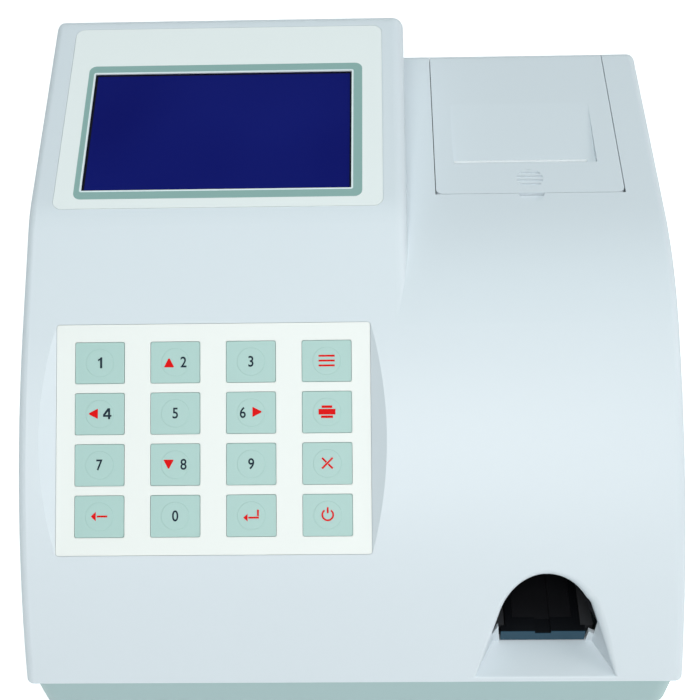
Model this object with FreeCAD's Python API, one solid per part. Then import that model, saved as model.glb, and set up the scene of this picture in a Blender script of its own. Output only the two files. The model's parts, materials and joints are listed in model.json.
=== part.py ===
import FreeCAD, Part
import math
import os

os.makedirs("parts", exist_ok=True)

# A bench-top strip reader for a lab: a wedge-shaped moulded case with a raised display
# hood and a keypad on the left, and a strip port and a paper printer on the right.
# Millimetres. X to the right, Y to the back, Z up. The origin is on the table under
# the middle of the case.

# Case: the outline seen from the side, from the front lip to the back wall
case_width = 265.0
case_depth = 268.0
foot_height = 6.0
base_height = 22.0
wall = 2.5
front_slope = 61.3
front_radius = 267.0
mid_slope = 30.0
crown_radius = 111.0
deck_slope_angle = 2.5
rear_draft = 3.3
side_draft = 0.35
side_round = 3.5
rear_round = 6.0
overrun = 5.0
right_angle = 90.0
seat_gap = 0.3

# Display hood: it leaves the case's curve and stays above the printer's deck
hood_slope_angle = 12.5
hood_straight_length = 43.0
hood_bend_radius = 40.0
hood_lean = 22.0
hood_right_space = 108.5
hood_round = 5.0
hood_core_depth = 60.0
hood_join = 9.0

# Lower case
lip_step = 1.2
base_taper = 4.0
base_corner = 8.0
floor_thick = 2.5
foot_radius = 8.0
foot_recess = 0.6
foot_inset = 26.0
foot_taper_share = 0.86
vent_count = 9
vent_width = 3.0
vent_length = 42.0
vent_pitch = 7.0
vent_y = 30.0

# Screws that hold the two halves, and the columns that they run in
screw_radius = 1.5
screw_play = 0.2
thread_play = 0.05
screw_head_radius = 2.9
screw_head_height = 2.0
head_play = 0.4
column_radius = 4.5
column_wall_space = 14.5
column_front_y = -106.0
column_rear_y = 112.0
top_column_height = 22.0
web_thick = 2.0
screw_bite = 12.0
screw_pocket = 5.0
screw_slot_share = 0.25
screw_slot_depth_share = 0.5

# Keypad: a flat pocket in the front curve with a bezel and sixteen keys
keypad_left_space = 15.1
keypad_right_space = 123.9
keypad_low_y = 30.7
keypad_length = 92.3
keypad_corner = 1.2
bezel_thick = 1.2
bezel_gap = 0.15
pocket_flare = 57.0
pocket_height = 12.0
key_margin_x = 7.75
key_margin_y = 7.35
key_space_x = 10.7
key_space_y = 4.0
key_corner = 0.8
key_gap = 0.2
key_thick = 1.2
key_travel = 0.6
key_spare = 0.15
key_flange = 1.2
key_flange_thick = 0.6
dome_radius = 5.6
dome_height = 0.12
aperture_margin = 3.0
mat_thick = 1.2
mat_overlap = 3.0
button_radius = 4.0
button_top_share = 0.7
board_thick = 1.6
keypad_board_margin = 5.5
small_screw_radius = 1.25
small_head_radius = 2.4
small_head_height = 1.4
small_boss_radius = 3.0
key_names = (("clear", "0", "enter", "start"), ("7", "8", "9", "cancel"),
             ("4", "5", "6", "print"), ("1", "2", "3", "menu"))

# Display: a printed label on the hood with a window, a clear lens and the panel behind
label_left_space = 10.5
label_right_space = 118.1
label_low = 1.4
label_length = 100.3
label_corner = 4.0
label_thick = 0.5
label_gap = 0.15
window_side_space = 24.4
window_offset = -1.05
window_length = 64.2
window_low = 10.8
lens_margin = 2.0
lens_thick = 2.0
lens_gap = 0.2
panel_margin = 5.0
panel_thick = 2.4
frame_depth = 6.0
frame_wall = 1.0
frame_margin = 9.0
frame_lip = 1.0
display_board_margin_x = 15.5
display_board_margin_y = 9.0
display_boss_gap = 0.3

# Printer cover: a flap flush with the deck, hinged at the back edge
cover_wall_space = 56.15
cover_width = 79.3
cover_front = 11.5
cover_thick = 2.2
cover_gap = 0.35
cover_corner = 3.0
cover_skirt = 1.0
slot_start = 30.8
slot_width = 2.2
ramp_end = 70.7
ramp_width = 61.8
ramp_depth = 2.1
ramp_thick = 1.6
ramp_side = 1.5
ramp_wall_space = 57.0
grip_radius = 5.6
grip_at = 20.6
grip_wall_space = 55.7
grip_depth = 0.9
rib_count = 5
rib_width = 1.2
rib_pitch = 2.4
thumb_radius = 5.4
thumb_depth = 1.4
hinge_pin_radius = 1.5
run_play = 0.05
knuckle_radius = 3.4
knuckle_length = 7.0
knuckle_inset = 1.0
lug_thick = 3.5
lug_drop = 6.0
hinge_play = 0.35

# Printer: an open chassis hung under the deck, with roll, platen, head and gears.
# Its places are measured along the deck from the end of the crown, and down from the deck.
chassis_flange = 7.0
flange_thick = 2.0
chassis_wall = 2.0
chassis_inner_width = 70.0
chassis_front = 14.0
chassis_back = 92.0
chassis_depth = 52.0
roll_radius = 20.0
roll_width = 57.0
roll_y = 66.6
roll_drop = 26.7
roll_wall_space = 58.9
core_radius = 6.4
spindle_radius = 6.3
journal_radius = 3.0
platen_radius = 5.5
platen_length = 60.0
platen_y = 37.9
platen_drop = 13.4
platen_shaft_radius = 2.0
paper_thick = 0.25
paper_clear = 0.3
paper_end_drop = 0.5
head_thick = 3.0
head_height = 13.0
head_low = 6.0
sink_depth = 5.0
sink_plate = 1.0
sink_fin = 1.0
sink_fins = 9
gear_module = 0.6
platen_teeth = 24
idler_teeth = 32
motor_teeth = 14
gear_width = 4.0
gear_gap = 1.2
mesh_play = 0.08
tooth_play = 0.12
point_play = 0.01
tooth_top_share = 0.85
tooth_root_share = 1.2
pressure_angle = 20.0
train_angle = 250.0
printer_motor_radius = 8.5
printer_motor_length = 16.0
motor_shaft_radius = 1.0
motor_boss_radius = 3.0
stud_radius = 2.0

# Strip port: an arch over a shelf, moulded in the front of the case
port_wall_space = 55.1
shelf_rise = 1.7
shelf_front_half = 27.6
arch_radius = 20.0
arch_lean = 22.5
arch_apex = 34.6
ear_half = 17.5
ear_tip_half = 18.4
ear_left_height = 11.0
ear_right_height = 6.8
ear_outer_half = 20.6
ear_outer_height = 5.3
port_block_half = 33.5
port_block_depth = 21.0
port_block_height = 50.0
port_round = 1.0
port_side_round = 2.0
port_top_round = 3.6
port_reach = 40.0
funnel_length = 17.8
funnel_front_half = 29.2
funnel_rear_half = 20.2
cheek_draft = 4.0
tunnel_half = 30.0
ear_thick = 1.8
liner_inset = 5.0
liner_gap = 0.3
liner_thick = 1.2
liner_rear = 54.0

# Strip carriage: it slides out of the port on a bed, driven by a rack and pinion
carriage_front = 18.0
carriage_half = 17.1
carriage_length = 152.0
carriage_thick = 6.0
carriage_rise = 0.6
carriage_travel = 60.0
carriage_bar = 3.0
carriage_step = 2.0
carriage_flange = 3.2
tray_start = 7.0
tray_half = 12.0
tray_thick = 3.0
tray_gap = 0.1
tray_length = 128.0
groove_half = 3.25
groove_depth = 1.4
groove_end = 4.0
reference_length = 10.0
reference_rise = 0.3
bed_wall = 3.0
bed_floor = 3.0
bed_play = 0.4
bed_lip_thick = 1.6
bed_start = 3.6
bed_length = 160.0
rack_module = 0.9
rack_back = 2.0
rack_width = 4.0
rack_offset = -1.0
rack_spare = 7.0
rack_top_share = 0.7
rack_root_share = 1.15
pinion_teeth = 14
pinion_top_share = 0.9
pinion_y = -38.0
slot_play = 0.6
drive_motor_radius = 10.0
drive_motor_length = 20.0
drive_motor_gap = 0.3
drive_shaft_radius = 1.5
drive_boss_radius = 3.3
shaft_centre_radius = 0.6
shaft_bite = 3.0
bracket_half = 12.0
bracket_low = 1.0
bed_post_radius = 4.0
bed_post_half = 13.0
bed_post_inset = 8.0
sensor_width = 12.0
sensor_depth = 7.0
sensor_height = 8.0
sensor_slot = 3.0
sensor_gap = 2.0

# Optics over the carriage
optics_y = -63.0
optics_length = 30.0
optics_clear = 3.0
optics_height = 24.0
lens_radius = 4.0
lens_height = 4.0
lens_seat = 0.5
lamp_board_width = 28.0
lamp_board_length = 24.0
lamp_size = 6.0
lamp_plug_width = 10.0
lamp_plug_step = 6.0
beam_radius = 2.5

# Boards in the lower case
main_board_left_space = 12.5
main_board_right_space = 92.5
main_board_y = 5.0
main_board_length = 190.0
standoff_height = 5.0
standoff_radius = 3.5
standoff_inset = 7.0
chip_size = 24.0
chip_height = 2.5
chip_pitch = 43.0
narrow_chip = 12.0
can_radius = 6.0
can_height = 14.0
header_width = 40.0
header_depth = 6.0
header_height = 9.0
power_board_wall_space = 48.5
power_board_y = 84.0
power_board_width = 56.0
power_board_length = 62.0
transformer_width = 36.0
transformer_length = 30.0
transformer_height = 28.0
can_pitch = 18.0
board_screw_length = 5.0
boss_screw_length = 4.4

# Rear connectors in a recess of the back wall
recess_left_space = 26.5
recess_rise = 30.0
recess_width = 96.0
recess_length = 34.0
recess_depth = 6.5
recess_wall = 2.0
recess_corner = 3.0
panel_plate_thick = 1.5
inlet_width = 30.0
inlet_length = 24.0
inlet_offset = -26.0
inlet_flange = 2.0
inlet_body_depth = 22.0
inlet_rim = 3.0
inlet_hole_width = 23.0
inlet_hole_length = 15.5
inlet_hole_depth = 16.0
inlet_pin_width = 4.0
inlet_pin_thick = 2.0
inlet_pin_pitch = 7.0
switch_offset = 3.0
switch_width = 15.0
switch_length = 21.0
switch_wall = 1.5
switch_depth = 14.0
switch_flange = 1.5
rocker_gap = 0.35
rocker_tilt = 9.0
rocker_pin_radius = 1.2
rocker_back = 2.5
serial_offset = 30.0
serial_flange_width = 31.0
serial_flange_length = 12.6
serial_shell_width = 17.0
serial_shell_length = 8.4
serial_shell_height = 3.6
serial_body_depth = 9.0
serial_pin_radius = 0.5
serial_pitch = 2.76
serial_plate = 1.0
serial_wall = 0.6
serial_taper = 1.4
serial_pin_length = 5.8
jack_height = 4.0
jack_spacing = 24.0
jack_radius = 2.4
plug_gap = 0.3

# Places worked out from the sizes above
lip_z = foot_height + base_height
half_width = case_width / 2
front_y = -case_depth / 2
rear_y = case_depth / 2
hood_right = half_width - hood_right_space
column_x = half_width - column_wall_space
keypad_width = case_width - keypad_left_space - keypad_right_space
keypad_centre_x = keypad_left_space - half_width + keypad_width / 2
key_width = (keypad_width - key_margin_x * 2 - key_space_x * 3) / 4
key_length = (keypad_length - key_margin_y * 2 - key_space_y * 3) / 4
key_pitch_x = key_width + key_space_x
key_pitch_y = key_length + key_space_y
label_width = case_width - label_left_space - label_right_space
label_centre_x = label_left_space - half_width + label_width / 2
window_width = label_width - window_side_space
display_centre_x = label_centre_x + window_offset
cover_centre_x = half_width - cover_wall_space
ramp_centre_x = half_width - ramp_wall_space
grip_x = half_width - grip_wall_space
roll_centre_x = half_width - roll_wall_space
port_x = half_width - port_wall_space
main_board_width = case_width - main_board_left_space - main_board_right_space
main_board_x = main_board_left_space - half_width + main_board_width / 2
power_board_x = half_width - power_board_wall_space
recess_x = recess_left_space - half_width + recess_width / 2


def vec(x, y, z):
    return FreeCAD.Vector(x, y, z)


def sin(angle):
    return math.sin(math.radians(angle))


def cos(angle):
    return math.cos(math.radians(angle))


def tan(angle):
    return math.tan(math.radians(angle))


across = vec(1, 0, 0)
back = vec(0, 1, 0)
up = vec(0, 0, 1)


def block(x0, x1, y0, y1, z0, z1):
    """A box between two values on each axis."""
    return Part.makeBox(x1 - x0, y1 - y0, z1 - z0, vec(x0, y0, z0))


def rod(radius, start, axis, length):
    """A round bar from a start point along an axis."""
    return Part.makeCylinder(radius, length, start, axis)


def slab(x, y, width, length, z0, z1, corner=0.0):
    """A plate about (x, y) between two heights, with round corners."""
    plate = block(x - width / 2, x + width / 2, y - length / 2, y + length / 2, z0, z1)
    if corner:
        uprights = [e for e in plate.Edges if abs(e.tangentAt(e.FirstParameter).z) > 0.5]
        plate = plate.makeFillet(corner, uprights)
    return plate


def sheet_of(edges, x0, x1):
    """A closed outline in the YZ plane, extruded from x0 to x1."""
    wire = Part.Wire(Part.__sortEdges__(edges))
    face = Part.Face(wire)
    face.translate(vec(x0, 0, 0))
    return face.extrude(vec(x1 - x0, 0, 0))


def prism(points, direction):
    """A polygon given by its corners, extruded along a direction."""
    return Part.Face(Part.makePolygon(list(points) + [points[0]])).extrude(direction)


def line(a, b):
    return Part.LineSegment(a, b).toShape()


def arc(a, b, c):
    return Part.Arc(a, b, c).toShape()


def put(shape, frame):
    """The shape moved from a local frame to its place on the case."""
    moved = shape.copy()
    moved.Placement = frame.multiply(moved.Placement)
    return moved


def joined(first, *others):
    return first.multiFuse(list(others)).removeSplitter()


def solid_of(shape):
    """The single solid of a result, so that each node is a plain solid."""
    return shape.Solids[0] if len(shape.Solids) == 1 else shape


def save(name, shape):
    shape.exportStep("parts/" + name + ".step")
    box = shape.BoundBox
    print(name, "solids", len(shape.Solids), "faces", len(shape.Faces), "volume", round(shape.Volume, 1),
          "valid", shape.isValid())


def meet(p, slope_p, q, slope_q):
    """Where two straight lines in the YZ plane cross."""
    reach = (q.y - p.y) * sin(slope_q) - (q.z - p.z) * cos(slope_q)
    reach = reach / (cos(slope_p) * sin(slope_q) - sin(slope_p) * cos(slope_q))
    return vec(0, p.y + reach * cos(slope_p), p.z + reach * sin(slope_p))


# The side outline. Each point takes an inset, so that the cavity follows the outside.
front_centre = vec(0, front_y + front_radius * sin(front_slope), lip_z - front_radius * cos(front_slope))
mid_point = front_centre + vec(0, -front_radius * sin(mid_slope), front_radius * cos(mid_slope))
crown_centre = mid_point + vec(0, crown_radius * sin(mid_slope), -crown_radius * cos(mid_slope))
bend_start = mid_point + vec(0, hood_straight_length * cos(mid_slope), hood_straight_length * sin(mid_slope))
bend_centre = bend_start + vec(0, hood_bend_radius * sin(mid_slope), -hood_bend_radius * cos(mid_slope))


def on_circle(centre, radius, slope):
    """The point of a circle in the YZ plane where its tangent has this slope."""
    return centre + vec(0, -radius * sin(slope), radius * cos(slope))


def main_points(inset):
    """Corners of the side outline over the printer's deck."""
    radius = front_radius - inset
    start_slope = math.degrees(math.acos((lip_z - front_centre.z) / radius))
    a = on_circle(front_centre, radius, start_slope)
    a_mid = on_circle(front_centre, radius, (start_slope + mid_slope) / 2)
    b = on_circle(front_centre, radius, mid_slope)
    b_mid = on_circle(crown_centre, crown_radius - inset, (mid_slope + deck_slope_angle) / 2)
    c = on_circle(crown_centre, crown_radius - inset, deck_slope_angle)
    e = vec(0, rear_y - inset / cos(rear_draft), lip_z)
    d = meet(c, deck_slope_angle, e, right_angle + rear_draft)
    return a, a_mid, b, b_mid, c, d, e


def hood_points(inset):
    """Corners of the hood's outline, from the end of its straight to the back wall."""
    b = on_circle(front_centre, front_radius - inset, mid_slope)
    h1 = on_circle(bend_centre, hood_bend_radius - inset, mid_slope)
    h_mid = on_circle(bend_centre, hood_bend_radius - inset, (mid_slope + hood_slope_angle) / 2)
    h2 = on_circle(bend_centre, hood_bend_radius - inset, hood_slope_angle)
    corner = main_points(0)[5] + vec(0, -inset / cos(hood_lean), 0)
    h3 = meet(h2, hood_slope_angle, corner, right_angle + hood_lean)
    return b, h1, h_mid, h2, h3, corner


def rounding(before, corner, after, radius):
    """Where a round corner starts, its middle and its end."""
    one = (before - corner).normalize()
    two = (after - corner).normalize()
    half = one.getAngle(two) / 2
    start = corner + one * (radius / math.tan(half))
    end = corner + two * (radius / math.tan(half))
    middle_line = (one + two).normalize()
    centre = corner + middle_line * (radius / math.sin(half))
    return start, centre - middle_line * radius, end


def deck_outline(inset):
    a, a_mid, b, b_mid, c, d, e = main_points(inset)
    d1, d_mid, d2 = rounding(c, d, e, rear_round - inset)
    return [arc(a, a_mid, b), arc(b, b_mid, c), line(c, d1), arc(d1, d_mid, d2), line(d2, e), line(e, a)]


def hood_outline(inset):
    a, a_mid, b, b_mid, c, d, e = main_points(inset)
    b, h1, h_mid, h2, h3, corner = hood_points(inset)
    foot = meet(corner, right_angle + hood_lean, e, right_angle + rear_draft)
    k1, k_mid, k2 = rounding(h2, h3, foot, rear_round - inset)
    return [arc(a, a_mid, b), line(b, h1), arc(h1, h_mid, h2), line(h2, k1), arc(k1, k_mid, k2),
            line(k2, foot),
            line(foot, e), line(e, a)]


def hood_edge_outline(inset):
    """The hood's right edge, which sinks into the case's own curve at the front."""
    b, h1, h_mid, h2, h3, corner = hood_points(inset)
    foot = meet(corner, right_angle + hood_lean, main_points(inset)[6], right_angle + rear_draft)
    k1, k_mid, k2 = rounding(h2, h3, foot, rear_round - inset)
    high_back = foot - vec(0, 0, rear_round * 2)
    high_back.y = foot.y - wall
    low_back = vec(0, high_back.y, mid_point.z - hood_core_depth)
    low_front = vec(0, b.y, mid_point.z - hood_core_depth)
    return [line(b, h1), arc(h1, h_mid, h2), line(h2, k1), arc(k1, k_mid, k2), line(k2, foot),
            line(foot, high_back), line(high_back, low_back), line(low_back, low_front), line(low_front, b)]


def side_x(z, inset):
    """Half of the case's width at a height, which the side draft narrows upwards."""
    return half_width - inset - (z - lip_z) * tan(side_draft)


def case_body(inset, rounded):
    """The outer form of the upper case, or its cavity at an inset."""
    split = hood_right - hood_join
    left = sheet_of(hood_outline(inset), -half_width, split)
    right = sheet_of(deck_outline(inset), split, half_width)
    edge = sheet_of(hood_edge_outline(inset), split, hood_right - inset)
    top_z = lip_z + front_radius
    sides = prism([vec(-side_x(lip_z, inset), front_y * 2, lip_z),
                   vec(side_x(lip_z, inset), front_y * 2, lip_z),
                   vec(side_x(top_z, inset), front_y * 2, top_z),
                   vec(-side_x(top_z, inset), front_y * 2, top_z)],
                  vec(0, case_depth * 2, 0))
    left = left.common(sides).Solids[0]
    right = right.common(sides).Solids[0]
    if rounded:
        left = rounded_side(left, -1)
        right = rounded_side(right, 1)
        foot_z = main_points(0)[5].z
        hood_edges = [e for e in edge.Edges if on_plane_x(e, hood_right) and
                      (abs(lowest(e) - mid_point.z) < seat_gap or lowest(e) > foot_z - seat_gap)]
        edge = edge.makeFillet(hood_round, hood_edges)
    return right.fuse(edge).fuse(left).removeSplitter().Solids[0]


def lowest(edge):
    return min(v.Point.z for v in edge.Vertexes)


def highest(edge):
    return max(v.Point.z for v in edge.Vertexes)


def on_plane_x(edge, x):
    return all(abs(v.Point.x - x) < run_play for v in edge.Vertexes)


def rounded_side(body, side):
    """Round the long edge between the top and a side wall, and the upright rear corner."""
    edges = []
    for e in body.Edges:
        ends = [v.Point for v in e.Vertexes]
        on_side = all(abs(side * p.x - side_x(p.z, 0)) < run_play for p in ends)
        if len(ends) == 2 and on_side and highest(e) > lip_z + seat_gap:
            edges.append(e)
    return body.makeFillet(side_round, edges).Solids[0]


# Local frames: the keypad's chord, the hood's flat and the printer's deck
def tilted(origin, slope):
    """A frame whose Y runs up a slope and whose Z stands on it."""
    return FreeCAD.Placement(origin, FreeCAD.Rotation(across, slope))


keypad_low_slope = math.degrees(math.asin((front_centre.y - (front_y + keypad_low_y)) / front_radius))
keypad_half_arc = math.degrees(math.asin(keypad_length / 2 / front_radius))
keypad_slope = keypad_low_slope - keypad_half_arc
keypad_low = on_circle(front_centre, front_radius, keypad_low_slope)
keypad_mid = keypad_low + vec(keypad_centre_x, cos(keypad_slope) * keypad_length / 2,
                              sin(keypad_slope) * keypad_length / 2)
keypad = tilted(keypad_mid, keypad_slope)
hood_corner = meet(bend_start, mid_slope, on_circle(bend_centre, hood_bend_radius, hood_slope_angle),
                   hood_slope_angle)
hood = tilted(vec(0, hood_corner.y, hood_corner.z), hood_slope_angle)
deck_start = main_points(0)[4]
deck_end = main_points(0)[5]
deck = tilted(vec(0, deck_start.y, deck_start.z), deck_slope_angle)
deck_length = (deck_end - deck_start).Length
hinge_y = deck_length - rear_round
hinge_z = -rear_round
cover_left = cover_centre_x - cover_width / 2
cover_right = cover_centre_x + cover_width / 2
shelf_z = lip_z + shelf_rise
port_front = front_y
funnel_y = front_y + funnel_length
block_y = front_y + port_block_depth
recess_z = lip_z + recess_rise
recess_floor_y = rear_y - recess_depth
floor_z = foot_height + floor_thick
mat_top = bezel_thick + wall + bezel_gap
keypad_board_top = mat_top + mat_thick + bezel_gap
display_top = label_thick + lens_thick + lens_gap + frame_lip
display_frame_bottom = display_top + frame_depth
window_y = window_low + window_length / 2
label_y = label_low + label_length / 2


def roof_face(inset, y):
    """The arch of the strip port as a flat face: two leaning legs and a round top."""
    z0 = shelf_z - port_block_depth
    radius = arch_radius - inset
    centre = vec(port_x, y, shelf_z + arch_apex - arch_radius)

    def at(side, angle):
        return centre + vec(side * radius * cos(angle), 0, radius * sin(angle))

    apex = at(1, right_angle)
    half = (right_angle + arch_lean) / 2
    reach = (at(1, arch_lean).z - z0) * tan(arch_lean)
    right = vec(at(1, arch_lean).x + reach, y, z0)
    left = vec(at(-1, arch_lean).x - reach, y, z0)
    edges = [arc(at(-1, arch_lean), at(-1, half), apex), arc(apex, at(1, half), at(1, arch_lean)),
             line(at(1, arch_lean), right), line(right, left), line(left, at(-1, arch_lean))]
    return Part.Face(Part.Wire(edges))


def arch_block():
    """The whole arch, cut through the front of the case."""
    return roof_face(0, front_y - overrun).extrude(vec(0, port_reach, 0))


def port_hollow():
    """The room for the strip: a funnel over the shelf and a tunnel behind it."""
    high = port_reach + shelf_rise
    slant = (funnel_front_half - funnel_rear_half) / funnel_length
    front_half = funnel_front_half + slant * overrun

    def plan(z, grow):
        points = [(-front_half - grow, front_y - overrun), (front_half + grow, front_y - overrun),
                  (funnel_rear_half + grow, funnel_y), (-funnel_rear_half - grow, funnel_y)]
        corners = [vec(port_x + x, y, shelf_z + z) for x, y in points]
        return Part.makePolygon(corners + [corners[0]])

    funnel = Part.makeLoft([plan(0, 0), plan(high, high * tan(cheek_draft))], True, True)
    tunnel = block(port_x - tunnel_half, port_x + tunnel_half, funnel_y, front_y + port_reach,
                   shelf_z, shelf_z + high)
    return funnel.fuse(tunnel)


def ears():
    """The two small horns at the back corners of the shelf."""
    horns = []
    for side, height in ((-1, ear_left_height), (1, ear_right_height)):
        far = funnel_rear_half + ear_thick
        outline = [(ear_half, 0), (far, 0), (far, ear_outer_height), (ear_outer_half, ear_outer_height),
                   (ear_tip_half, height)]
        points = [vec(port_x + side * x, funnel_y, shelf_z + z) for x, z in outline]
        horns.append(prism(points, vec(0, ear_thick, 0)))
    return horns


def on_front(edge):
    """Whether an edge of the port's mouth lies on the front curve."""
    for share in (0, 0.5, 1):
        p = edge.valueAt(edge.FirstParameter + (edge.LastParameter - edge.FirstParameter) * share)
        reach = math.hypot(p.y - front_centre.y, p.z - front_centre.z)
        if abs(reach - front_radius) > run_play or abs(p.x - port_x) > port_block_half:
            return False
    return True


def mouth_round(z):
    """The rounding of the port's mouth at a height: small at the foot, large at the top."""
    spring_z = shelf_z + arch_apex - arch_radius + arch_radius * sin(arch_lean)
    if z > spring_z:
        share = (z - spring_z) / (shelf_z + arch_apex - spring_z)
        return port_side_round + (port_top_round - port_side_round) * share
    share = (z - lip_z) / (spring_z - lip_z)
    return port_round + (port_side_round - port_round) * share


def with_port(body, outer):
    """The strip port: the arch is cut and rounded, then the shelf and its cheeks are filled in."""
    arch = arch_block()
    sheet = FreeCAD.newDocument("mouth")
    base = sheet.addObject("Part::Feature", "base")
    base.Shape = body.cut(arch)
    rows = []
    for number, edge in enumerate(base.Shape.Edges, 1):
        if on_front(edge):
            start, end = (edge.valueAt(edge.FirstParameter), edge.valueAt(edge.LastParameter))
            rows.append((number, mouth_round(start.z), mouth_round(end.z)))
    mouth = sheet.addObject("Part::Fillet", "mouth")
    mouth.Base = base
    mouth.Edges = rows
    sheet.recompute()
    body = mouth.Shape.copy()
    FreeCAD.closeDocument(sheet.Name)
    x0 = port_x - port_block_half
    x1 = port_x + port_block_half
    tall = block(x0, x1, front_y - overrun, funnel_y, shelf_z, lip_z + port_block_height)
    cheeks = outer.common(arch).common(tall).cut(port_hollow())
    half = shelf_front_half + port_top_round
    low = block(port_x - half, port_x + half, front_y - overrun, block_y, lip_z - overrun, shelf_z)
    sill = outer.common(low)
    front = [e for e in sill.Edges if on_front(e) and abs(e.CenterOfMass.z - shelf_z) < run_play]
    sill = sill.makeFillet(port_round, front)
    return body.cut(low).fuse(sill).fuse(cheeks)


def top_case():
    outer = case_body(0, True)
    cavity = case_body(wall, False)
    # Thick places behind the keypad, the display, the strip port and the rear recess
    flare = pocket_height * tan(pocket_flare)
    pad_half = keypad_width / 2 + keypad_board_margin + wall
    pad_reach = keypad_length / 2 + wall
    pad = block(-pad_half, pad_half, -pad_reach, pad_reach, -bezel_thick - wall, pocket_height)
    pads = [put(pad, keypad)]
    pads.append(put(slab(display_centre_x, window_y, window_width + frame_margin * 2 + wall * 2,
                         window_length + frame_margin * 2 + wall * 2, -display_top, pocket_height), hood))
    pads.append(block(port_x - port_block_half, port_x + port_block_half, front_y - overrun, block_y,
                      lip_z - overrun, lip_z + port_block_height))
    pads.append(block(recess_x - recess_width / 2 - recess_wall, recess_x + recess_width / 2 + recess_wall,
                      recess_floor_y - recess_wall, rear_y + overrun,
                      recess_z - recess_length / 2 - recess_wall,
                      recess_z + recess_length / 2 + recess_wall))
    for pad in pads:
        cavity = cavity.cut(pad)
    body = with_port(outer.cut(cavity), outer)
    for horn in ears():
        body = body.fuse(horn)
    # Keypad pocket, the bezel's bed and the opening for the keys
    half_x = keypad_width / 2
    half_y = keypad_length / 2
    low = [vec(-half_x, -half_y - wall, 0), vec(half_x, -half_y - wall, 0), vec(half_x, half_y + wall, 0),
           vec(-half_x, half_y + wall, 0)]
    high = [vec(-half_x - flare, -half_y - wall, pocket_height),
            vec(half_x + flare, -half_y - wall, pocket_height),
            vec(half_x + flare, half_y + wall, pocket_height),
            vec(-half_x - flare, half_y + wall, pocket_height)]
    pocket = Part.makeLoft([Part.makePolygon(low + [low[0]]), Part.makePolygon(high + [high[0]])], True, True)
    body = body.cut(put(pocket, keypad))
    bed = slab(0, 0, keypad_width, keypad_length, -bezel_thick, pocket_height, keypad_corner)
    body = body.cut(put(bed, keypad))
    hole = slab(0, 0, keypad_width - aperture_margin * 2, keypad_length - aperture_margin * 2,
                -bezel_thick - wall - overrun, pocket_height)
    body = body.cut(put(hole, keypad))
    # Display: the label's bed, the lens seat and the opening
    body = body.cut(put(slab(label_centre_x, label_y, label_width, label_length, -label_thick, pocket_height,
                             label_corner), hood))
    lens = slab(display_centre_x, window_y, window_width + lens_margin * 2, window_length + lens_margin * 2,
                -label_thick - lens_thick - lens_gap, pocket_height)
    body = body.cut(put(lens, hood))
    body = body.cut(put(slab(display_centre_x, window_y, window_width, window_length, -display_top - overrun,
                             pocket_height), hood))
    # Printer cover: its opening, the round relief about its hinge and the thumb notch
    x0 = cover_left - cover_gap
    x1 = cover_right + cover_gap
    opening = block(x0, x1, cover_front - cover_gap, hinge_y, -wall - overrun, pocket_height)
    corner = block(x0, x1, hinge_y, deck_length + overrun, hinge_z, pocket_height)
    relief = rod(rear_round + hinge_play, vec(x0, hinge_y, hinge_z), across, x1 - x0)
    notch = rod(thumb_radius, vec(grip_x, cover_front, -thumb_depth), up, pocket_height)
    for cutter in (opening, corner, relief, notch):
        body = body.cut(put(cutter, deck))
    # Rear recess and its opening
    recess = block(recess_x - recess_width / 2, recess_x + recess_width / 2, recess_floor_y, rear_y + overrun,
                   recess_z - recess_length / 2, recess_z + recess_length / 2)
    recess = recess.makeFillet(recess_corner, [e for e in recess.Edges
                                               if abs(e.tangentAt(e.FirstParameter).y) > 0.5])
    body = body.cut(recess)
    edge = recess_wall * 2
    body = body.cut(block(recess_x - recess_width / 2 + edge, recess_x + recess_width / 2 - edge,
                          recess_floor_y - recess_wall - overrun, rear_y, recess_z - recess_length / 2 + edge,
                          recess_z + recess_length / 2 - edge))
    # Screw columns with their webs, and bosses for the keypad board and the display board
    for x, y in column_places():
        side = 1 if x > 0 else -1
        column = rod(column_radius, vec(x, y, lip_z), up, top_column_height)
        reach = side_x(lip_z + top_column_height, wall / 2)
        web = block(min(x, side * reach), max(x, side * reach), y - web_thick / 2, y + web_thick / 2, lip_z,
                    lip_z + top_column_height)
        body = body.fuse(column).fuse(web)
        body = body.cut(rod(screw_radius + thread_play, vec(x, y, lip_z - overrun), up,
                            overrun + screw_bite + screw_pocket))
    for x, y in keypad_screw_places():
        boss = rod(small_boss_radius, vec(x, y, -keypad_board_top), up,
                   keypad_board_top - bezel_thick - wall / 2)
        body = body.fuse(put(boss, keypad))
        drill = rod(small_screw_radius + thread_play, vec(x, y, -keypad_board_top - overrun), up,
                    overrun + boss_screw_length - board_thick + bezel_gap)
        body = body.cut(put(drill, keypad))
    for x, y in display_screw_places():
        boss = rod(small_boss_radius, vec(x, y, -display_frame_bottom), up, display_frame_bottom - wall)
        body = body.fuse(put(boss, hood))
        drill = rod(small_screw_radius + thread_play, vec(x, y, -display_frame_bottom - overrun), up,
                    overrun + boss_screw_length)
        body = body.cut(put(drill, hood))
    return solid_of(body.removeSplitter())


def column_places():
    return [(x, y) for x in (-column_x, column_x) for y in (column_front_y, column_rear_y)]


def keypad_screw_places():
    x = keypad_width / 2 + small_boss_radius
    y = keypad_length / 2 - small_boss_radius
    return [(sx * x, sy * y) for sx in (-1, 1) for sy in (-1, 1)]


def display_screw_places():
    x = window_width / 2 + frame_margin + display_boss_gap + small_boss_radius
    y = window_length / 2 - small_boss_radius
    return [(display_centre_x + sx * x, window_y + sy * y) for sx in (-1, 1) for sy in (-1, 1)]


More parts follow.
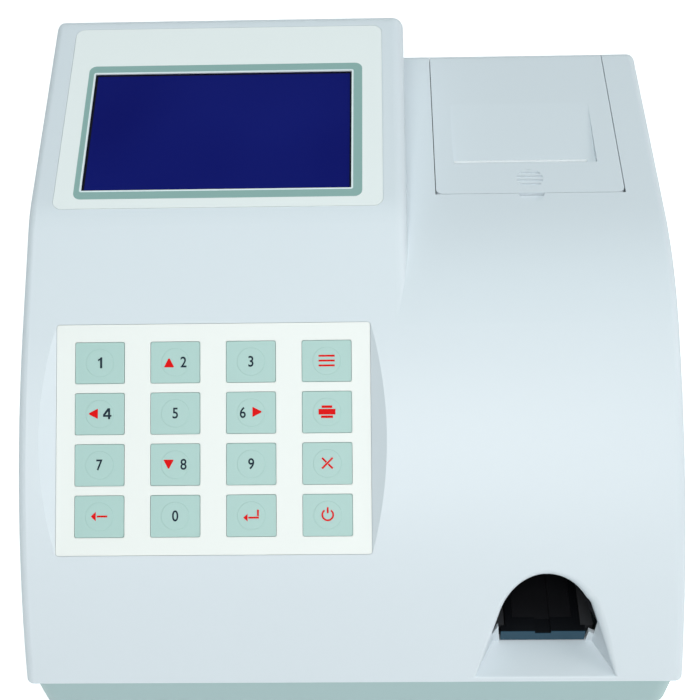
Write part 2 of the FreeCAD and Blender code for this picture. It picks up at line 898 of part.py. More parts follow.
def pan(z0, z1, inset):
    """The tapered form of the lower case between two heights, at an inset."""
    def grow(z):
        return (lip_z - z) * tan(base_taper)

    def x_at(z):
        return half_width - lip_step - inset - grow(z)

    def y_at(z):
        return rear_y - lip_step - inset - grow(z)

    front_view = prism([vec(-x_at(z0), front_y, z0), vec(x_at(z0), front_y, z0), vec(x_at(z1), front_y, z1),
                        vec(-x_at(z1), front_y, z1)], vec(0, case_depth, 0))
    side_view = prism([vec(-half_width, -y_at(z0), z0), vec(-half_width, y_at(z0), z0),
                       vec(-half_width, y_at(z1), z1), vec(-half_width, -y_at(z1), z1)],
                       vec(case_width, 0, 0))
    body = front_view.common(side_view)
    corners = [e for e in body.Edges if abs(lowest(e) - highest(e)) > (z1 - z0) / 2]
    return body.makeFillet(base_corner - inset, corners)


def foot_places():
    bottom = (lip_z - foot_height) * tan(base_taper) + lip_step
    x = half_width - bottom - foot_inset
    y = rear_y - bottom - foot_inset
    return [(sx * x, sy * y) for sx in (-1, 1) for sy in (-1, 1)]


def board_corners(x, y, width, length):
    return [(x + sx * (width / 2 - standoff_inset), y + sy * (length / 2 - standoff_inset))
            for sx in (-1, 1) for sy in (-1, 1)]


def base_screw_places():
    return (board_corners(main_board_x, main_board_y, main_board_width, main_board_length) +
            board_corners(power_board_x, power_board_y, power_board_width, power_board_length))


def base_case():
    body = pan(foot_height, lip_z, 0).cut(pan(floor_z, lip_z, wall))
    for x, y in column_places():
        column = rod(column_radius, vec(x, y, foot_height), up, lip_z - foot_height)
        body = body.fuse(column)
    for x, y in base_screw_places():
        body = body.fuse(rod(standoff_radius, vec(x, y, foot_height), up, floor_thick + standoff_height))
    for x, y in column_places():
        body = body.cut(rod(screw_radius + screw_play, vec(x, y, foot_height), up, base_height))
        body = body.cut(rod(screw_head_radius + head_play, vec(x, y, foot_height), up, screw_pocket))
    for x, y in base_screw_places():
        body = body.cut(rod(small_screw_radius + thread_play, vec(x, y, floor_z), up, standoff_height))
    for x, y in foot_places():
        body = body.cut(rod(foot_radius + run_play, vec(x, y, foot_height), up, foot_recess))
    for i in range(vent_count):
        x = main_board_x + (i - (vent_count - 1) / 2) * vent_pitch
        body = body.cut(slab(x, vent_y, vent_width, vent_length, foot_height, floor_z,
                             vent_width / 2 - run_play))
    return solid_of(body.removeSplitter())


def feet():
    each = []
    for x, y in foot_places():
        top = rod(foot_radius, vec(x, y, foot_height), up, foot_recess)
        cone = Part.makeCone(foot_radius * foot_taper_share, foot_radius, foot_height, vec(x, y, 0), up)
        each.append(joined(cone, top))
    return Part.makeCompound(each)


def screw(shank_radius, length, head_radius, head_height):
    """A screw that points up from a head below the origin, with a cross recess in its head."""
    body = joined(rod(head_radius, vec(0, 0, -head_height), up, head_height),
                  rod(shank_radius, vec(0, 0, 0), up, length))
    depth = head_height * screw_slot_depth_share
    half_slot = head_radius * screw_slot_share / 2
    for turn in (0, right_angle):
        bar = block(-head_radius / 2, head_radius / 2, -half_slot, half_slot, -head_height,
                    depth - head_height)
        bar.rotate(vec(0, 0, 0), up, turn)
        body = body.cut(bar)
    return body


def case_screws():
    each = []
    for x, y in column_places():
        item = screw(screw_radius, lip_z + screw_bite - foot_height - screw_pocket, screw_head_radius,
                     screw_head_height)
        item.translate(vec(x, y, foot_height + screw_pocket))
        each.append(item)
    return Part.makeCompound(each)


def board_screws():
    each = []
    small = screw(small_screw_radius, boss_screw_length, small_head_radius, small_head_height)
    for x, y in keypad_screw_places():
        item = small.copy()
        item.translate(vec(x, y, -keypad_board_top - board_thick))
        each.append(put(item, keypad))
    for x, y in display_screw_places():
        item = small.copy()
        item.translate(vec(x, y, -display_frame_bottom - board_thick))
        each.append(put(item, hood))
    for x, y in base_screw_places():
        item = screw(small_screw_radius, board_screw_length, small_head_radius, small_head_height)
        item.rotate(vec(0, 0, 0), across, 180)
        item.translate(vec(x, y, floor_z + standoff_height + board_thick))
        each.append(item)
    return Part.makeCompound(each)


def drilled(board, places, z0, z1):
    for x, y in places:
        board = board.cut(rod(small_screw_radius + screw_play, vec(x, y, z0), up, z1 - z0))
    return board


# Keypad
def key_centre(row, column):
    return (column - 1.5) * key_pitch_x, (row - 1.5) * key_pitch_y


def keypad_bezel():
    body = slab(0, 0, keypad_width - bezel_gap * 2, keypad_length - bezel_gap * 2, -bezel_thick, 0,
                keypad_corner - bezel_gap)
    for row in range(4):
        for column in range(4):
            x, y = key_centre(row, column)
            body = body.cut(slab(x, y, key_width + key_gap * 2, key_length + key_gap * 2, -bezel_thick, 0,
                                 key_corner))
    return put(body, keypad)


def key(row, column):
    x, y = key_centre(row, column)
    low = -bezel_thick - bezel_gap
    pad = slab(x, y, key_width, key_length, low, key_spare, key_corner)
    flange = slab(x, y, key_width + key_flange * 2, key_length + key_flange * 2, low - key_flange_thick, low)
    dome = Part.makeCone(dome_radius, dome_radius - dome_height, dome_height, vec(x, y, key_spare), up)
    return put(joined(pad, flange, dome), keypad)


def key_mat():
    width = keypad_width - aperture_margin * 2 + mat_overlap
    length = keypad_length - aperture_margin * 2 + mat_overlap
    body = slab(0, 0, width, length, -mat_top - mat_thick, -mat_top)
    top = -bezel_thick - bezel_gap - key_flange_thick - key_travel - bezel_gap
    for row in range(4):
        for column in range(4):
            x, y = key_centre(row, column)
            body = body.fuse(Part.makeCone(button_radius, button_radius * button_top_share, mat_top + top,
                                           vec(x, y, -mat_top), up))
    return put(solid_of(body.removeSplitter()), keypad)


def keypad_board():
    top = -keypad_board_top
    body = slab(0, 0, keypad_width + keypad_board_margin * 2, keypad_length, top - board_thick, top)
    body = drilled(body, keypad_screw_places(), top - board_thick, top)
    plug = slab(0, -keypad_length / 2 + header_depth, header_width, header_depth,
                top - board_thick - header_height, top - board_thick)
    return put(joined(body, plug), keypad)


# Display
def display_label():
    gap = label_gap * 2
    body = slab(label_centre_x, label_y, label_width - gap, label_length - gap, -label_thick, 0,
                label_corner - label_gap)
    body = body.cut(slab(display_centre_x, window_y, window_width, window_length, -label_thick, 0))
    return put(body, hood)


def display_window():
    margin = (lens_margin - lens_gap) * 2
    body = slab(display_centre_x, window_y, window_width + margin, window_length + margin,
                -label_thick - lens_gap - lens_thick, -label_thick - lens_gap)
    return put(body, hood)


def lcd_bezel():
    wide = window_width + frame_margin * 2
    long = window_length + frame_margin * 2
    body = slab(display_centre_x, window_y, wide, long, -display_frame_bottom, -display_top)
    body = body.cut(slab(display_centre_x, window_y, wide - frame_wall * 2, long - frame_wall * 2,
                         -display_frame_bottom, -display_top - frame_lip))
    body = body.cut(slab(display_centre_x, window_y, window_width, window_length, -display_frame_bottom,
                         -display_top))
    return put(body, hood)


def lcd_glass():
    trim = (frame_wall + seat_gap) * 2
    wide = window_width + frame_margin * 2 - trim
    long = window_length + frame_margin * 2 - trim
    body = slab(display_centre_x, window_y, wide, long, -display_top - frame_lip - panel_thick,
                -display_top - frame_lip)
    return put(body, hood)


def lcd_board():
    top = -display_frame_bottom
    body = slab(display_centre_x, window_y, window_width + display_board_margin_x * 2,
                window_length + display_board_margin_y * 2, top - board_thick, top)
    body = drilled(body, display_screw_places(), top - board_thick, top)
    plug = slab(display_centre_x, window_y - window_length / 2, header_width, header_depth,
                top - board_thick - header_height, top - board_thick)
    lamp_height = frame_depth - frame_lip - panel_thick - bezel_gap
    lamp = slab(display_centre_x, window_y, window_width, window_length, top, top + lamp_height)
    return put(joined(body, plug, lamp), hood)


# Printer cover and its hinge
def printer_cover():
    plate = block(cover_left, cover_right, cover_front, hinge_y, -cover_thick, 0)
    fronts = [e for e in plate.Edges if abs(e.tangentAt(e.FirstParameter).z) > 0.5
              and abs(e.Vertexes[0].Point.y - cover_front) < run_play]
    plate = plate.makeFillet(cover_corner, fronts)
    start = vec(cover_left, hinge_y, hinge_z)
    ring = rod(rear_round, start, across, cover_width).cut(
        rod(rear_round - cover_thick, start, across, cover_width))
    ring = ring.common(block(cover_left, cover_right, hinge_y, hinge_y + rear_round, hinge_z, 0))
    slot_end = slot_start + slot_width
    x0 = ramp_centre_x - ramp_width / 2
    x1 = ramp_centre_x + ramp_width / 2
    back_wedge = prism([vec(x0 - ramp_side, slot_start - ramp_side, -cover_thick / 2),
                        vec(x0 - ramp_side, slot_start - ramp_side, -ramp_depth - ramp_thick),
                        vec(x0 - ramp_side, slot_end, -ramp_depth - ramp_thick),
                        vec(x0 - ramp_side, ramp_end + ramp_side, -cover_thick / 2)],
                       vec(ramp_width + ramp_side * 2, 0, 0))
    body = joined(plate, ring, back_wedge)
    for x in knuckle_starts():
        web = rod(rear_round - cover_thick / 2, vec(x, hinge_y, hinge_z), across, knuckle_length)
        web = web.common(block(x, x + knuckle_length, hinge_y, hinge_y + rear_round,
                               hinge_z + knuckle_radius / 2, 0))
        barrel = rod(knuckle_radius, vec(x, hinge_y, hinge_z), across, knuckle_length)
        body = body.fuse(web).fuse(barrel)
    for x in knuckle_starts():
        body = body.cut(rod(hinge_pin_radius + run_play, vec(x, hinge_y, hinge_z), across, knuckle_length))
    ramp = prism([vec(x0, slot_start, -ramp_depth), vec(x0, ramp_end, 0), vec(x0, ramp_end, overrun),
                  vec(x0, slot_start, overrun)], vec(ramp_width, 0, 0))
    body = body.cut(ramp)
    body = body.cut(block(x0, x1, slot_start, slot_end, -ramp_depth - ramp_thick - overrun, overrun))
    dish = rod(grip_radius, vec(grip_x, grip_at, -grip_depth), up, overrun)
    for i in range(rib_count):
        y = grip_at + (i - (rib_count - 1) / 2) * rib_pitch
        dish = dish.cut(block(grip_x - grip_radius, grip_x + grip_radius, y - rib_width / 2,
                              y + rib_width / 2,
                              -grip_depth, -run_play))
    body = body.cut(dish)
    return put(solid_of(body.removeSplitter()), deck)


def knuckle_starts():
    return [cover_left + knuckle_inset, cover_right - knuckle_inset - knuckle_length]


def cover_hinge_pin():
    length = cover_width - knuckle_inset * 2
    return put(rod(hinge_pin_radius, vec(cover_left + knuckle_inset, hinge_y, hinge_z), across, length), deck)


# Printer. Its X ends come from the cover's centre.
inner_left = cover_centre_x - chassis_inner_width / 2
inner_right = cover_centre_x + chassis_inner_width / 2
outer_left = inner_left - chassis_wall
outer_right = inner_right + chassis_wall
platen_at = (platen_y, -platen_drop)
roll_at = (roll_y, -roll_drop)
first_reach = gear_module * (platen_teeth + idler_teeth) / 2 + mesh_play
second_reach = gear_module * (idler_teeth + motor_teeth) / 2 + mesh_play
idler_at = (platen_y + first_reach * cos(train_angle), -platen_drop + first_reach * sin(train_angle))
motor_at = (idler_at[0] + second_reach * cos(train_angle), idler_at[1] + second_reach * sin(train_angle))
gear_x = outer_right + gear_gap


def printer_frame():
    top = -wall
    flange = block(cover_left - chassis_flange, cover_right + chassis_flange, cover_front - chassis_flange,
                   chassis_back + chassis_wall, top - flange_thick, top)
    tub = block(outer_left, outer_right, chassis_front, chassis_back + chassis_wall,
                -chassis_depth - chassis_wall, top)
    body = flange.fuse(tub)
    body = body.cut(block(inner_left, inner_right, chassis_front + chassis_wall, chassis_back, -chassis_depth,
                          overrun))
    back_y = chassis_back + chassis_wall / 2
    for i, start in enumerate(knuckle_starts()):
        x = start + knuckle_length + hinge_play if i == 0 else start - hinge_play - lug_thick
        barrel = rod(knuckle_radius, vec(x, hinge_y, hinge_z), across, lug_thick)
        arm = prism([vec(x, hinge_y, hinge_z + knuckle_radius), vec(x, hinge_y, hinge_z - knuckle_radius),
                     vec(x, back_y, hinge_z - knuckle_radius - lug_drop),
                     vec(x, back_y, hinge_z + knuckle_radius)], vec(lug_thick, 0, 0))
        body = body.fuse(barrel).fuse(arm)
        body = body.cut(rod(hinge_pin_radius + run_play, vec(x, hinge_y, hinge_z), across, lug_thick))
    wall_reach = outer_right - outer_left
    body = body.cut(rod(platen_shaft_radius + run_play, vec(outer_left, *platen_at), across, wall_reach))
    body = body.cut(rod(journal_radius + run_play, vec(outer_left, *roll_at), across, wall_reach))
    body = body.cut(rod(motor_shaft_radius + seat_gap, vec(inner_right, *motor_at), across, chassis_wall))
    body = body.fuse(rod(stud_radius, vec(outer_right, *idler_at), across, gear_gap + gear_width))
    return put(solid_of(body.removeSplitter()), deck)


def thermal_head():
    y1 = platen_y - platen_radius - paper_clear - paper_thick - paper_clear
    z0 = -platen_drop - head_low
    x0 = inner_left + seat_gap
    x1 = inner_right - seat_gap
    body = block(x0, x1, y1 - head_thick, y1, z0, z0 + head_height)
    for i in range(sink_fins):
        x = x0 + (x1 - x0 - sink_fin) * i / (sink_fins - 1)
        body = body.fuse(block(x, x + sink_fin, y1 - head_thick - sink_depth, y1 - head_thick, z0,
                               z0 + head_height))
    return put(solid_of(body.removeSplitter()), deck)


def platen_roller():
    x0 = roll_centre_x - platen_length / 2
    body = joined(rod(platen_radius, vec(x0, *platen_at), across, platen_length),
                  rod(platen_shaft_radius, vec(outer_left, *platen_at), across,
                      gear_x + gear_width - outer_left))
    return put(body, deck)


def tooth_half_angle(radius, pitch_radius, teeth, play):
    """Half of a tooth's angle at a radius, for an involute flank."""
    base = pitch_radius * cos(pressure_angle)

    def inv(angle):
        return math.tan(angle) - angle

    start = math.pi / 2 / teeth - play / pitch_radius + inv(math.radians(pressure_angle))
    if radius <= base:
        return start
    return start - inv(math.acos(base / radius))


def gear(module, teeth, place, phase, x, width, bore, top_share, root_share, play):
    """A spur gear about an X axis. Its first tooth points at the phase angle, from +Y to +Z."""
    pitch_radius = module * teeth / 2
    root = pitch_radius - module * root_share
    tip = pitch_radius + module * top_share
    base = max(root, pitch_radius * cos(pressure_angle))
    radii = [root, base, (base + pitch_radius) / 2, pitch_radius, (pitch_radius + tip) / 2, tip]
    points = []
    for k in range(teeth):
        centre = math.radians(phase) + 2 * math.pi * k / teeth
        for radius in radii:
            angle = centre - tooth_half_angle(radius, pitch_radius, teeth, play)
            points.append(vec(x, place[0] + radius * math.cos(angle), place[1] + radius * math.sin(angle)))
        for radius in reversed(radii):
            angle = centre + tooth_half_angle(radius, pitch_radius, teeth, play)
            points.append(vec(x, place[0] + radius * math.cos(angle), place[1] + radius * math.sin(angle)))
    kept = [p for i, p in enumerate(points) if (p - points[i - 1]).Length > point_play]
    body = prism(kept, vec(width, 0, 0))
    return body.cut(rod(bore, vec(x, *place), across, width))


def printer_gear(teeth, place, phase, bore):
    return put(gear(gear_module, teeth, place, phase, gear_x, gear_width, bore, tooth_top_share,
                    tooth_root_share, tooth_play), deck)


def printer_motor():
    length = printer_motor_length
    x1 = inner_right - seat_gap
    body = rod(printer_motor_radius, vec(x1 - length, *motor_at), across, length)
    body = joined(body, rod(motor_boss_radius, vec(x1 - length - gear_gap, *motor_at), across, gear_gap))
    body = body.cut(rod(motor_shaft_radius + run_play, vec(x1 - shaft_bite, *motor_at), across, shaft_bite))
    return put(body, deck)


def printer_motor_pinion():
    wheel = gear(gear_module, motor_teeth, motor_at, train_angle + 180, gear_x, gear_width,
                 shaft_centre_radius, tooth_top_share, tooth_root_share, tooth_play)
    x0 = inner_right - seat_gap - shaft_bite
    shaft = rod(motor_shaft_radius, vec(x0, *motor_at), across, gear_x + gear_width - x0)
    return put(joined(wheel, shaft), deck)


def paper_roll():
    x0 = roll_centre_x - roll_width / 2
    body = rod(roll_radius, vec(x0, *roll_at), across, roll_width)
    return put(body.cut(rod(core_radius, vec(x0, *roll_at), across, roll_width)), deck)


def paper_spindle():
    x0 = roll_centre_x - roll_width / 2
    body = joined(rod(spindle_radius, vec(x0 - seat_gap, *roll_at), across, roll_width + seat_gap * 2),
                  rod(journal_radius, vec(outer_left, *roll_at), across, outer_right - outer_left))
    return put(body, deck)


def paper_web():
    """The paper from the roll, round the platen and up to the slot."""
    near = platen_radius + paper_clear
    far = roll_radius + paper_clear
    dy = platen_at[0] - roll_at[0]
    dz = platen_at[1] - roll_at[1]
    reach = math.hypot(dy, dz)
    turn = math.degrees(math.atan2(dz, dy) - math.acos((near - far) / reach))
    x0 = roll_centre_x - roll_width / 2

    def at(place, radius, angle):
        return vec(x0, place[0] - radius * cos(angle), place[1] - radius * sin(angle))

    top = -paper_end_drop
    edges = []
    for offset in (0, paper_thick):
        a = at(platen_at, near + offset, 0)
        m = at(platen_at, near + offset, turn / 2)
        b = at(platen_at, near + offset, turn)
        c = at(roll_at, far + offset, turn)
        high = vec(x0, a.y, top)
        edges += [line(high, a), arc(a, m, b), line(b, c)]
    first = edges[0].Vertexes[0].Point, edges[2].Vertexes[-1].Point
    second = edges[3].Vertexes[0].Point, edges[5].Vertexes[-1].Point
    edges += [line(first[0], second[0]), line(first[1], second[1])]
    face = Part.Face(Part.Wire(Part.__sortEdges__(edges)))
    return put(face.extrude(vec(roll_width, 0, 0)), deck)


# Strip port liner, carriage and its bed
carriage_y = front_y + carriage_front
carriage_z = shelf_z + carriage_rise
carriage_top = carriage_z + carriage_thick
bed_front = carriage_y + bed_start
bed_top = carriage_z - bed_play
bed_half = carriage_half + bed_play
lip_low = carriage_z + carriage_flange + bed_play
wall_top = lip_low + bed_lip_thick
rack_x = port_x + rack_offset
rack_root = carriage_z - rack_back
rack_line = rack_root - rack_module * rack_root_share
pinion_radius = rack_module * pinion_teeth / 2
pinion_z = rack_line - pinion_radius - mesh_play


def port_liner():
    length = liner_rear
    tube = roof_face(liner_gap, front_y).extrude(vec(0, length, 0))
    tube = tube.cut(roof_face(liner_gap + liner_thick, front_y).extrude(vec(0, length, 0)))
    tube = tube.common(case_body(liner_inset, False))
    low = shelf_z + liner_gap
    tube = tube.common(block(port_x - port_block_half, port_x + port_block_half,
                             funnel_y + ear_thick + liner_gap,
                             front_y + length, low, low + port_block_height))
    return tube


def strip_carriage():
    low = block(port_x - carriage_half, port_x + carriage_half, carriage_y, carriage_y + carriage_length,
                carriage_z, carriage_z + carriage_flange)
    inner_half = carriage_half - carriage_step
    high = block(port_x - inner_half, port_x + inner_half, carriage_y, carriage_y + carriage_length,
                 carriage_z, carriage_top)
    bar = block(port_x - carriage_half, port_x + carriage_half, carriage_y, carriage_y + carriage_bar,
                carriage_z, carriage_top)
    body = joined(low, high, bar)
    half = tray_half + tray_gap
    y0 = carriage_y + tray_start - tray_gap
    body = body.cut(block(port_x - half, port_x + half, y0, y0 + tray_length + tray_gap * 2,
                          carriage_top - tray_thick, carriage_top))
    body = body.cut(block(port_x - groove_half, port_x + groove_half, carriage_y, y0,
                          carriage_top - groove_depth, carriage_top))
    return body


def strip_tray():
    y0 = carriage_y + tray_start
    body = block(port_x - tray_half, port_x + tray_half, y0, y0 + tray_length, carriage_top - tray_thick,
                 carriage_top)
    body = body.cut(block(port_x - groove_half, port_x + groove_half, y0,
                          y0 + tray_length - groove_end - reference_length, carriage_top - groove_depth,
                          carriage_top))
    y1 = y0 + tray_length - groove_end
    return body.cut(block(port_x - groove_half, port_x + groove_half, y1 - reference_length, y1,
                          carriage_top - groove_depth - reference_rise, carriage_top))


def reference_pad():
    y1 = carriage_y + tray_start + tray_length - groove_end - tray_gap
    half = groove_half - tray_gap
    z0 = carriage_top - groove_depth - reference_rise
    return block(port_x - half, port_x + half, y1 - reference_length + tray_gap * 2, y1, z0,
                 carriage_top - reference_rise)


def carriage_rack():
    pitch = math.pi * rack_module
    play = tooth_play
    top = rack_module * rack_top_share
    root = rack_module * rack_root_share
    y0 = pinion_y - rack_spare
    y1 = pinion_y + carriage_travel + rack_spare
    first = math.ceil((y0 - pinion_y) / pitch)
    last = math.floor((y1 - pinion_y) / pitch) - 1
    x = rack_x - rack_width / 2
    points = [vec(x, y1, carriage_z), vec(x, y0, carriage_z), vec(x, y0, rack_root)]
    for k in range(first, last):
        middle = pinion_y + (k + 0.5) * pitch
        wide = pitch / 4 - play
        points.append(vec(x, middle - wide - root * tan(pressure_angle), rack_root))
        points.append(vec(x, middle - wide + top * tan(pressure_angle), rack_line - top))
        points.append(vec(x, middle + wide - top * tan(pressure_angle), rack_line - top))
        points.append(vec(x, middle + wide + root * tan(pressure_angle), rack_root))
    points.append(vec(x, y1, rack_root))
    return prism(points, vec(rack_width, 0, 0))


def drive_pinion():
    body = gear(rack_module, pinion_teeth, (pinion_y, pinion_z), 90, rack_x - rack_width / 2, rack_width,
                shaft_centre_radius, pinion_top_share, tooth_root_share, tooth_play)
    x0 = rack_x - rack_width
    x1 = port_x + bed_half + bed_wall + drive_motor_gap + shaft_bite
    return joined(body, rod(drive_shaft_radius, vec(x0, pinion_y, pinion_z), across, x1 - x0))


def transport_bed():
    outer = bed_half + bed_wall
    y0 = bed_front
    y1 = bed_front + bed_length
    body = block(port_x - outer, port_x + outer, y0, y1, bed_top - bed_floor, wall_top)
    body = body.cut(block(port_x - bed_half, port_x + bed_half, y0, y1, bed_top, lip_low))
    inner = carriage_half - carriage_step + bed_play
    body = body.cut(block(port_x - inner, port_x + inner, y0, y1, lip_low, wall_top))
    half = rack_width / 2 + slot_play
    body = body.cut(block(rack_x - half, rack_x + half, pinion_y - carriage_travel - rack_spare - slot_play,
                          pinion_y + carriage_travel + rack_spare + slot_play, bed_top - bed_floor, bed_top))
    for x in (port_x - bed_post_half, port_x + bed_post_half):
        for y in (y0 + bed_post_inset, y1 - bed_post_inset):
            body = body.fuse(rod(bed_post_radius, vec(x, y, floor_z), up, bed_top - bed_floor - floor_z))
    bracket = block(port_x + bed_half, port_x + outer, pinion_y - bracket_half, pinion_y + bracket_half,
                    floor_z + bracket_low, bed_top)
    body = body.fuse(bracket)
    body = body.cut(rod(drive_shaft_radius + run_play, vec(port_x + bed_half, pinion_y, pinion_z), across,
                        bed_wall))
    return solid_of(body.removeSplitter())


def drive_motor():
    x0 = port_x + bed_half + bed_wall + drive_motor_gap
    body = rod(drive_motor_radius, vec(x0, pinion_y, pinion_z), across, drive_motor_length)
    body = joined(body, rod(drive_boss_radius, vec(x0 - drive_motor_gap, pinion_y, pinion_z), across,
                            drive_motor_gap))
    return body.cut(rod(drive_shaft_radius + run_play, vec(x0 - drive_motor_gap, pinion_y, pinion_z), across,
                        shaft_bite + drive_motor_gap * 2))


def optical_head():
    outer = bed_half + bed_wall
    low = carriage_top + optics_clear
    body = block(port_x - outer, port_x + outer, optics_y - optics_length / 2, optics_y + optics_length / 2,
                 wall_top, low + optics_height)
    body = body.cut(block(port_x - bed_half, port_x + bed_half, optics_y - optics_length / 2,
                          optics_y + optics_length / 2, wall_top, low))
    body = body.cut(rod(lens_radius + run_play, vec(port_x, optics_y, low), up, lens_height + lens_seat))
    return body.cut(rod(beam_radius, vec(port_x, optics_y, low), up, optics_height))


def optical_lens():
    z0 = carriage_top + optics_clear + lens_seat
    body = rod(lens_radius, vec(port_x, optics_y, z0), up, lens_height)
    return body


def lamp_board():
    z0 = carriage_top + optics_clear + optics_height
    body = slab(port_x, optics_y, lamp_board_width, lamp_board_length, z0, z0 + board_thick)
    z1 = z0 + board_thick
    lamp = slab(port_x, optics_y, lamp_size, lamp_size, z1, z1 + chip_height)
    plug = slab(port_x, optics_y + lamp_plug_step, lamp_plug_width, header_depth, z1, z1 + header_height)
    return joined(body, lamp, plug)


def home_sensor():
    y0 = carriage_y + carriage_length + sensor_gap
    body = block(port_x - sensor_width / 2, port_x + sensor_width / 2, y0, y0 + sensor_depth, bed_top,
                 bed_top + sensor_height)
    return body.cut(block(port_x - sensor_slot / 2, port_x + sensor_slot / 2, y0, y0 + sensor_depth,
                          bed_top + sensor_slot, bed_top + sensor_height))


# Boards in the lower case
def main_board():
    z0 = floor_z + standoff_height
    z1 = z0 + board_thick
    body = slab(main_board_x, main_board_y, main_board_width, main_board_length, z0, z1)
    body = drilled(body, board_corners(main_board_x, main_board_y, main_board_width, main_board_length),
                   z0, z1)
    parts = [slab(main_board_x, main_board_y, chip_size, chip_size, z1, z1 + chip_height),
             slab(main_board_x - chip_pitch, main_board_y, narrow_chip, chip_size, z1, z1 + chip_height),
             slab(main_board_x + chip_pitch, main_board_y, narrow_chip, chip_size, z1, z1 + chip_height)]
    reach = main_board_length / 2 - header_depth
    for side in (-1, 1):
        parts.append(slab(main_board_x, main_board_y + side * reach, header_width, header_depth, z1,
                          z1 + header_height))
        parts.append(rod(can_radius, vec(main_board_x + side * header_width, main_board_y + reach / 2, z1),
                         up,
                         can_height))
    return joined(body, *parts)


def power_board():
    z0 = floor_z + standoff_height
    z1 = z0 + board_thick
    body = slab(power_board_x, power_board_y, power_board_width, power_board_length, z0, z1)
    body = drilled(body, board_corners(power_board_x, power_board_y, power_board_width, power_board_length),
                   z0, z1)
    box = slab(power_board_x, power_board_y + can_radius, transformer_width, transformer_length, z1,
               z1 + transformer_height)
    cans = [rod(can_radius, vec(power_board_x + side * can_pitch / 2,
                                power_board_y - transformer_length / 2 - can_radius / 2, z1), up, can_height)
            for side in (-1, 1)]
    return joined(body, box, *cans)


# Rear connectors
plate_y = recess_floor_y + panel_plate_thick
inlet_x = recess_x + inlet_offset
switch_x = recess_x + switch_offset
serial_x = recess_x + serial_offset


def upright(x, width, height, y0, y1, corner=0.0):
    """A plate across the back, centred on the recess, between two depths."""
    plate = block(x - width / 2, x + width / 2, y0, y1, recess_z - height / 2, recess_z + height / 2)
    if corner:
        plate = plate.makeFillet(corner, [e for e in plate.Edges
                                          if abs(e.tangentAt(e.FirstParameter).y) > 0.5])
    return plate


def rear_panel():
    body = upright(recess_x, recess_width - plug_gap * 2, recess_length - plug_gap * 2, recess_floor_y,
                   plate_y,
                   recess_corner)
    body = body.cut(upright(inlet_x, inlet_width - inlet_rim, inlet_length - inlet_rim, recess_floor_y,
                            plate_y))
    body = body.cut(upright(switch_x, switch_width, switch_length, recess_floor_y, plate_y))
    return body.cut(upright(serial_x, serial_shell_width, serial_shell_length, recess_floor_y, plate_y))


def power_inlet():
    flange = upright(inlet_x, inlet_width, inlet_length, plate_y, plate_y + inlet_flange, recess_corner)
    trim = inlet_rim + plug_gap * 2
    body = joined(flange, upright(inlet_x, inlet_width - trim, inlet_length - trim,
                                  plate_y - inlet_body_depth,
                                  plate_y))
    face = plate_y + inlet_flange
    body = body.cut(upright(inlet_x, inlet_hole_width, inlet_hole_length, face - inlet_hole_depth, face))
    for place, drop in ((-1, 0), (0, 1), (1, 0)):
        x = inlet_x + place * inlet_pin_pitch
        z = recess_z - drop * inlet_pin_width
        body = body.fuse(block(x - inlet_pin_thick / 2, x + inlet_pin_thick / 2, face - inlet_hole_depth,
                               face - inlet_flange, z, z + inlet_pin_width))
    return solid_of(body.removeSplitter())


rocker_half = switch_length / 2 - switch_wall - rocker_gap
rocker_y = plate_y - rocker_half * sin(rocker_tilt)


def power_switch_housing():
    flange = upright(switch_x, switch_width + switch_flange * 2, switch_length + switch_flange * 2, plate_y,
                     plate_y + switch_flange)
    trim = plug_gap * 2
    body = joined(flange, upright(switch_x, switch_width - trim, switch_length - trim, plate_y - switch_depth,
                                  plate_y))
    body = body.cut(upright(switch_x, switch_width - trim - switch_wall * 2, switch_length - switch_wall * 2,
                            plate_y - switch_depth + switch_wall, plate_y + switch_flange))
    reach = switch_width - trim
    return body.cut(rod(rocker_pin_radius + run_play, vec(switch_x - reach / 2, rocker_y, recess_z),
                        across, reach))


def power_rocker():
    """The rocker at its off end: two faces that meet at a shallow angle over the pin."""
    half_wide = (switch_width - plug_gap * 2) / 2 - switch_wall - rocker_gap
    start = vec(switch_x - half_wide, rocker_y, recess_z)
    drum = rod(rocker_half, start, across, half_wide * 2)
    face = rocker_half * sin(rocker_tilt) + switch_flange
    ends = [vec(start.x, rocker_y - rocker_back, recess_z - rocker_half),
            vec(start.x, rocker_y + face + rocker_half * tan(rocker_tilt), recess_z - rocker_half),
            vec(start.x, rocker_y + face, recess_z),
            vec(start.x, rocker_y + face + rocker_half * tan(rocker_tilt), recess_z + rocker_half),
            vec(start.x, rocker_y - rocker_back, recess_z + rocker_half)]
    body = drum.common(prism(ends, vec(half_wide * 2, 0, 0)))
    body = joined(body, rod(rocker_pin_radius, start - vec(switch_wall + rocker_gap, 0, 0), across,
                            (half_wide + switch_wall + rocker_gap) * 2))
    body.rotate(vec(switch_x, rocker_y, recess_z), across, -rocker_tilt)
    return body


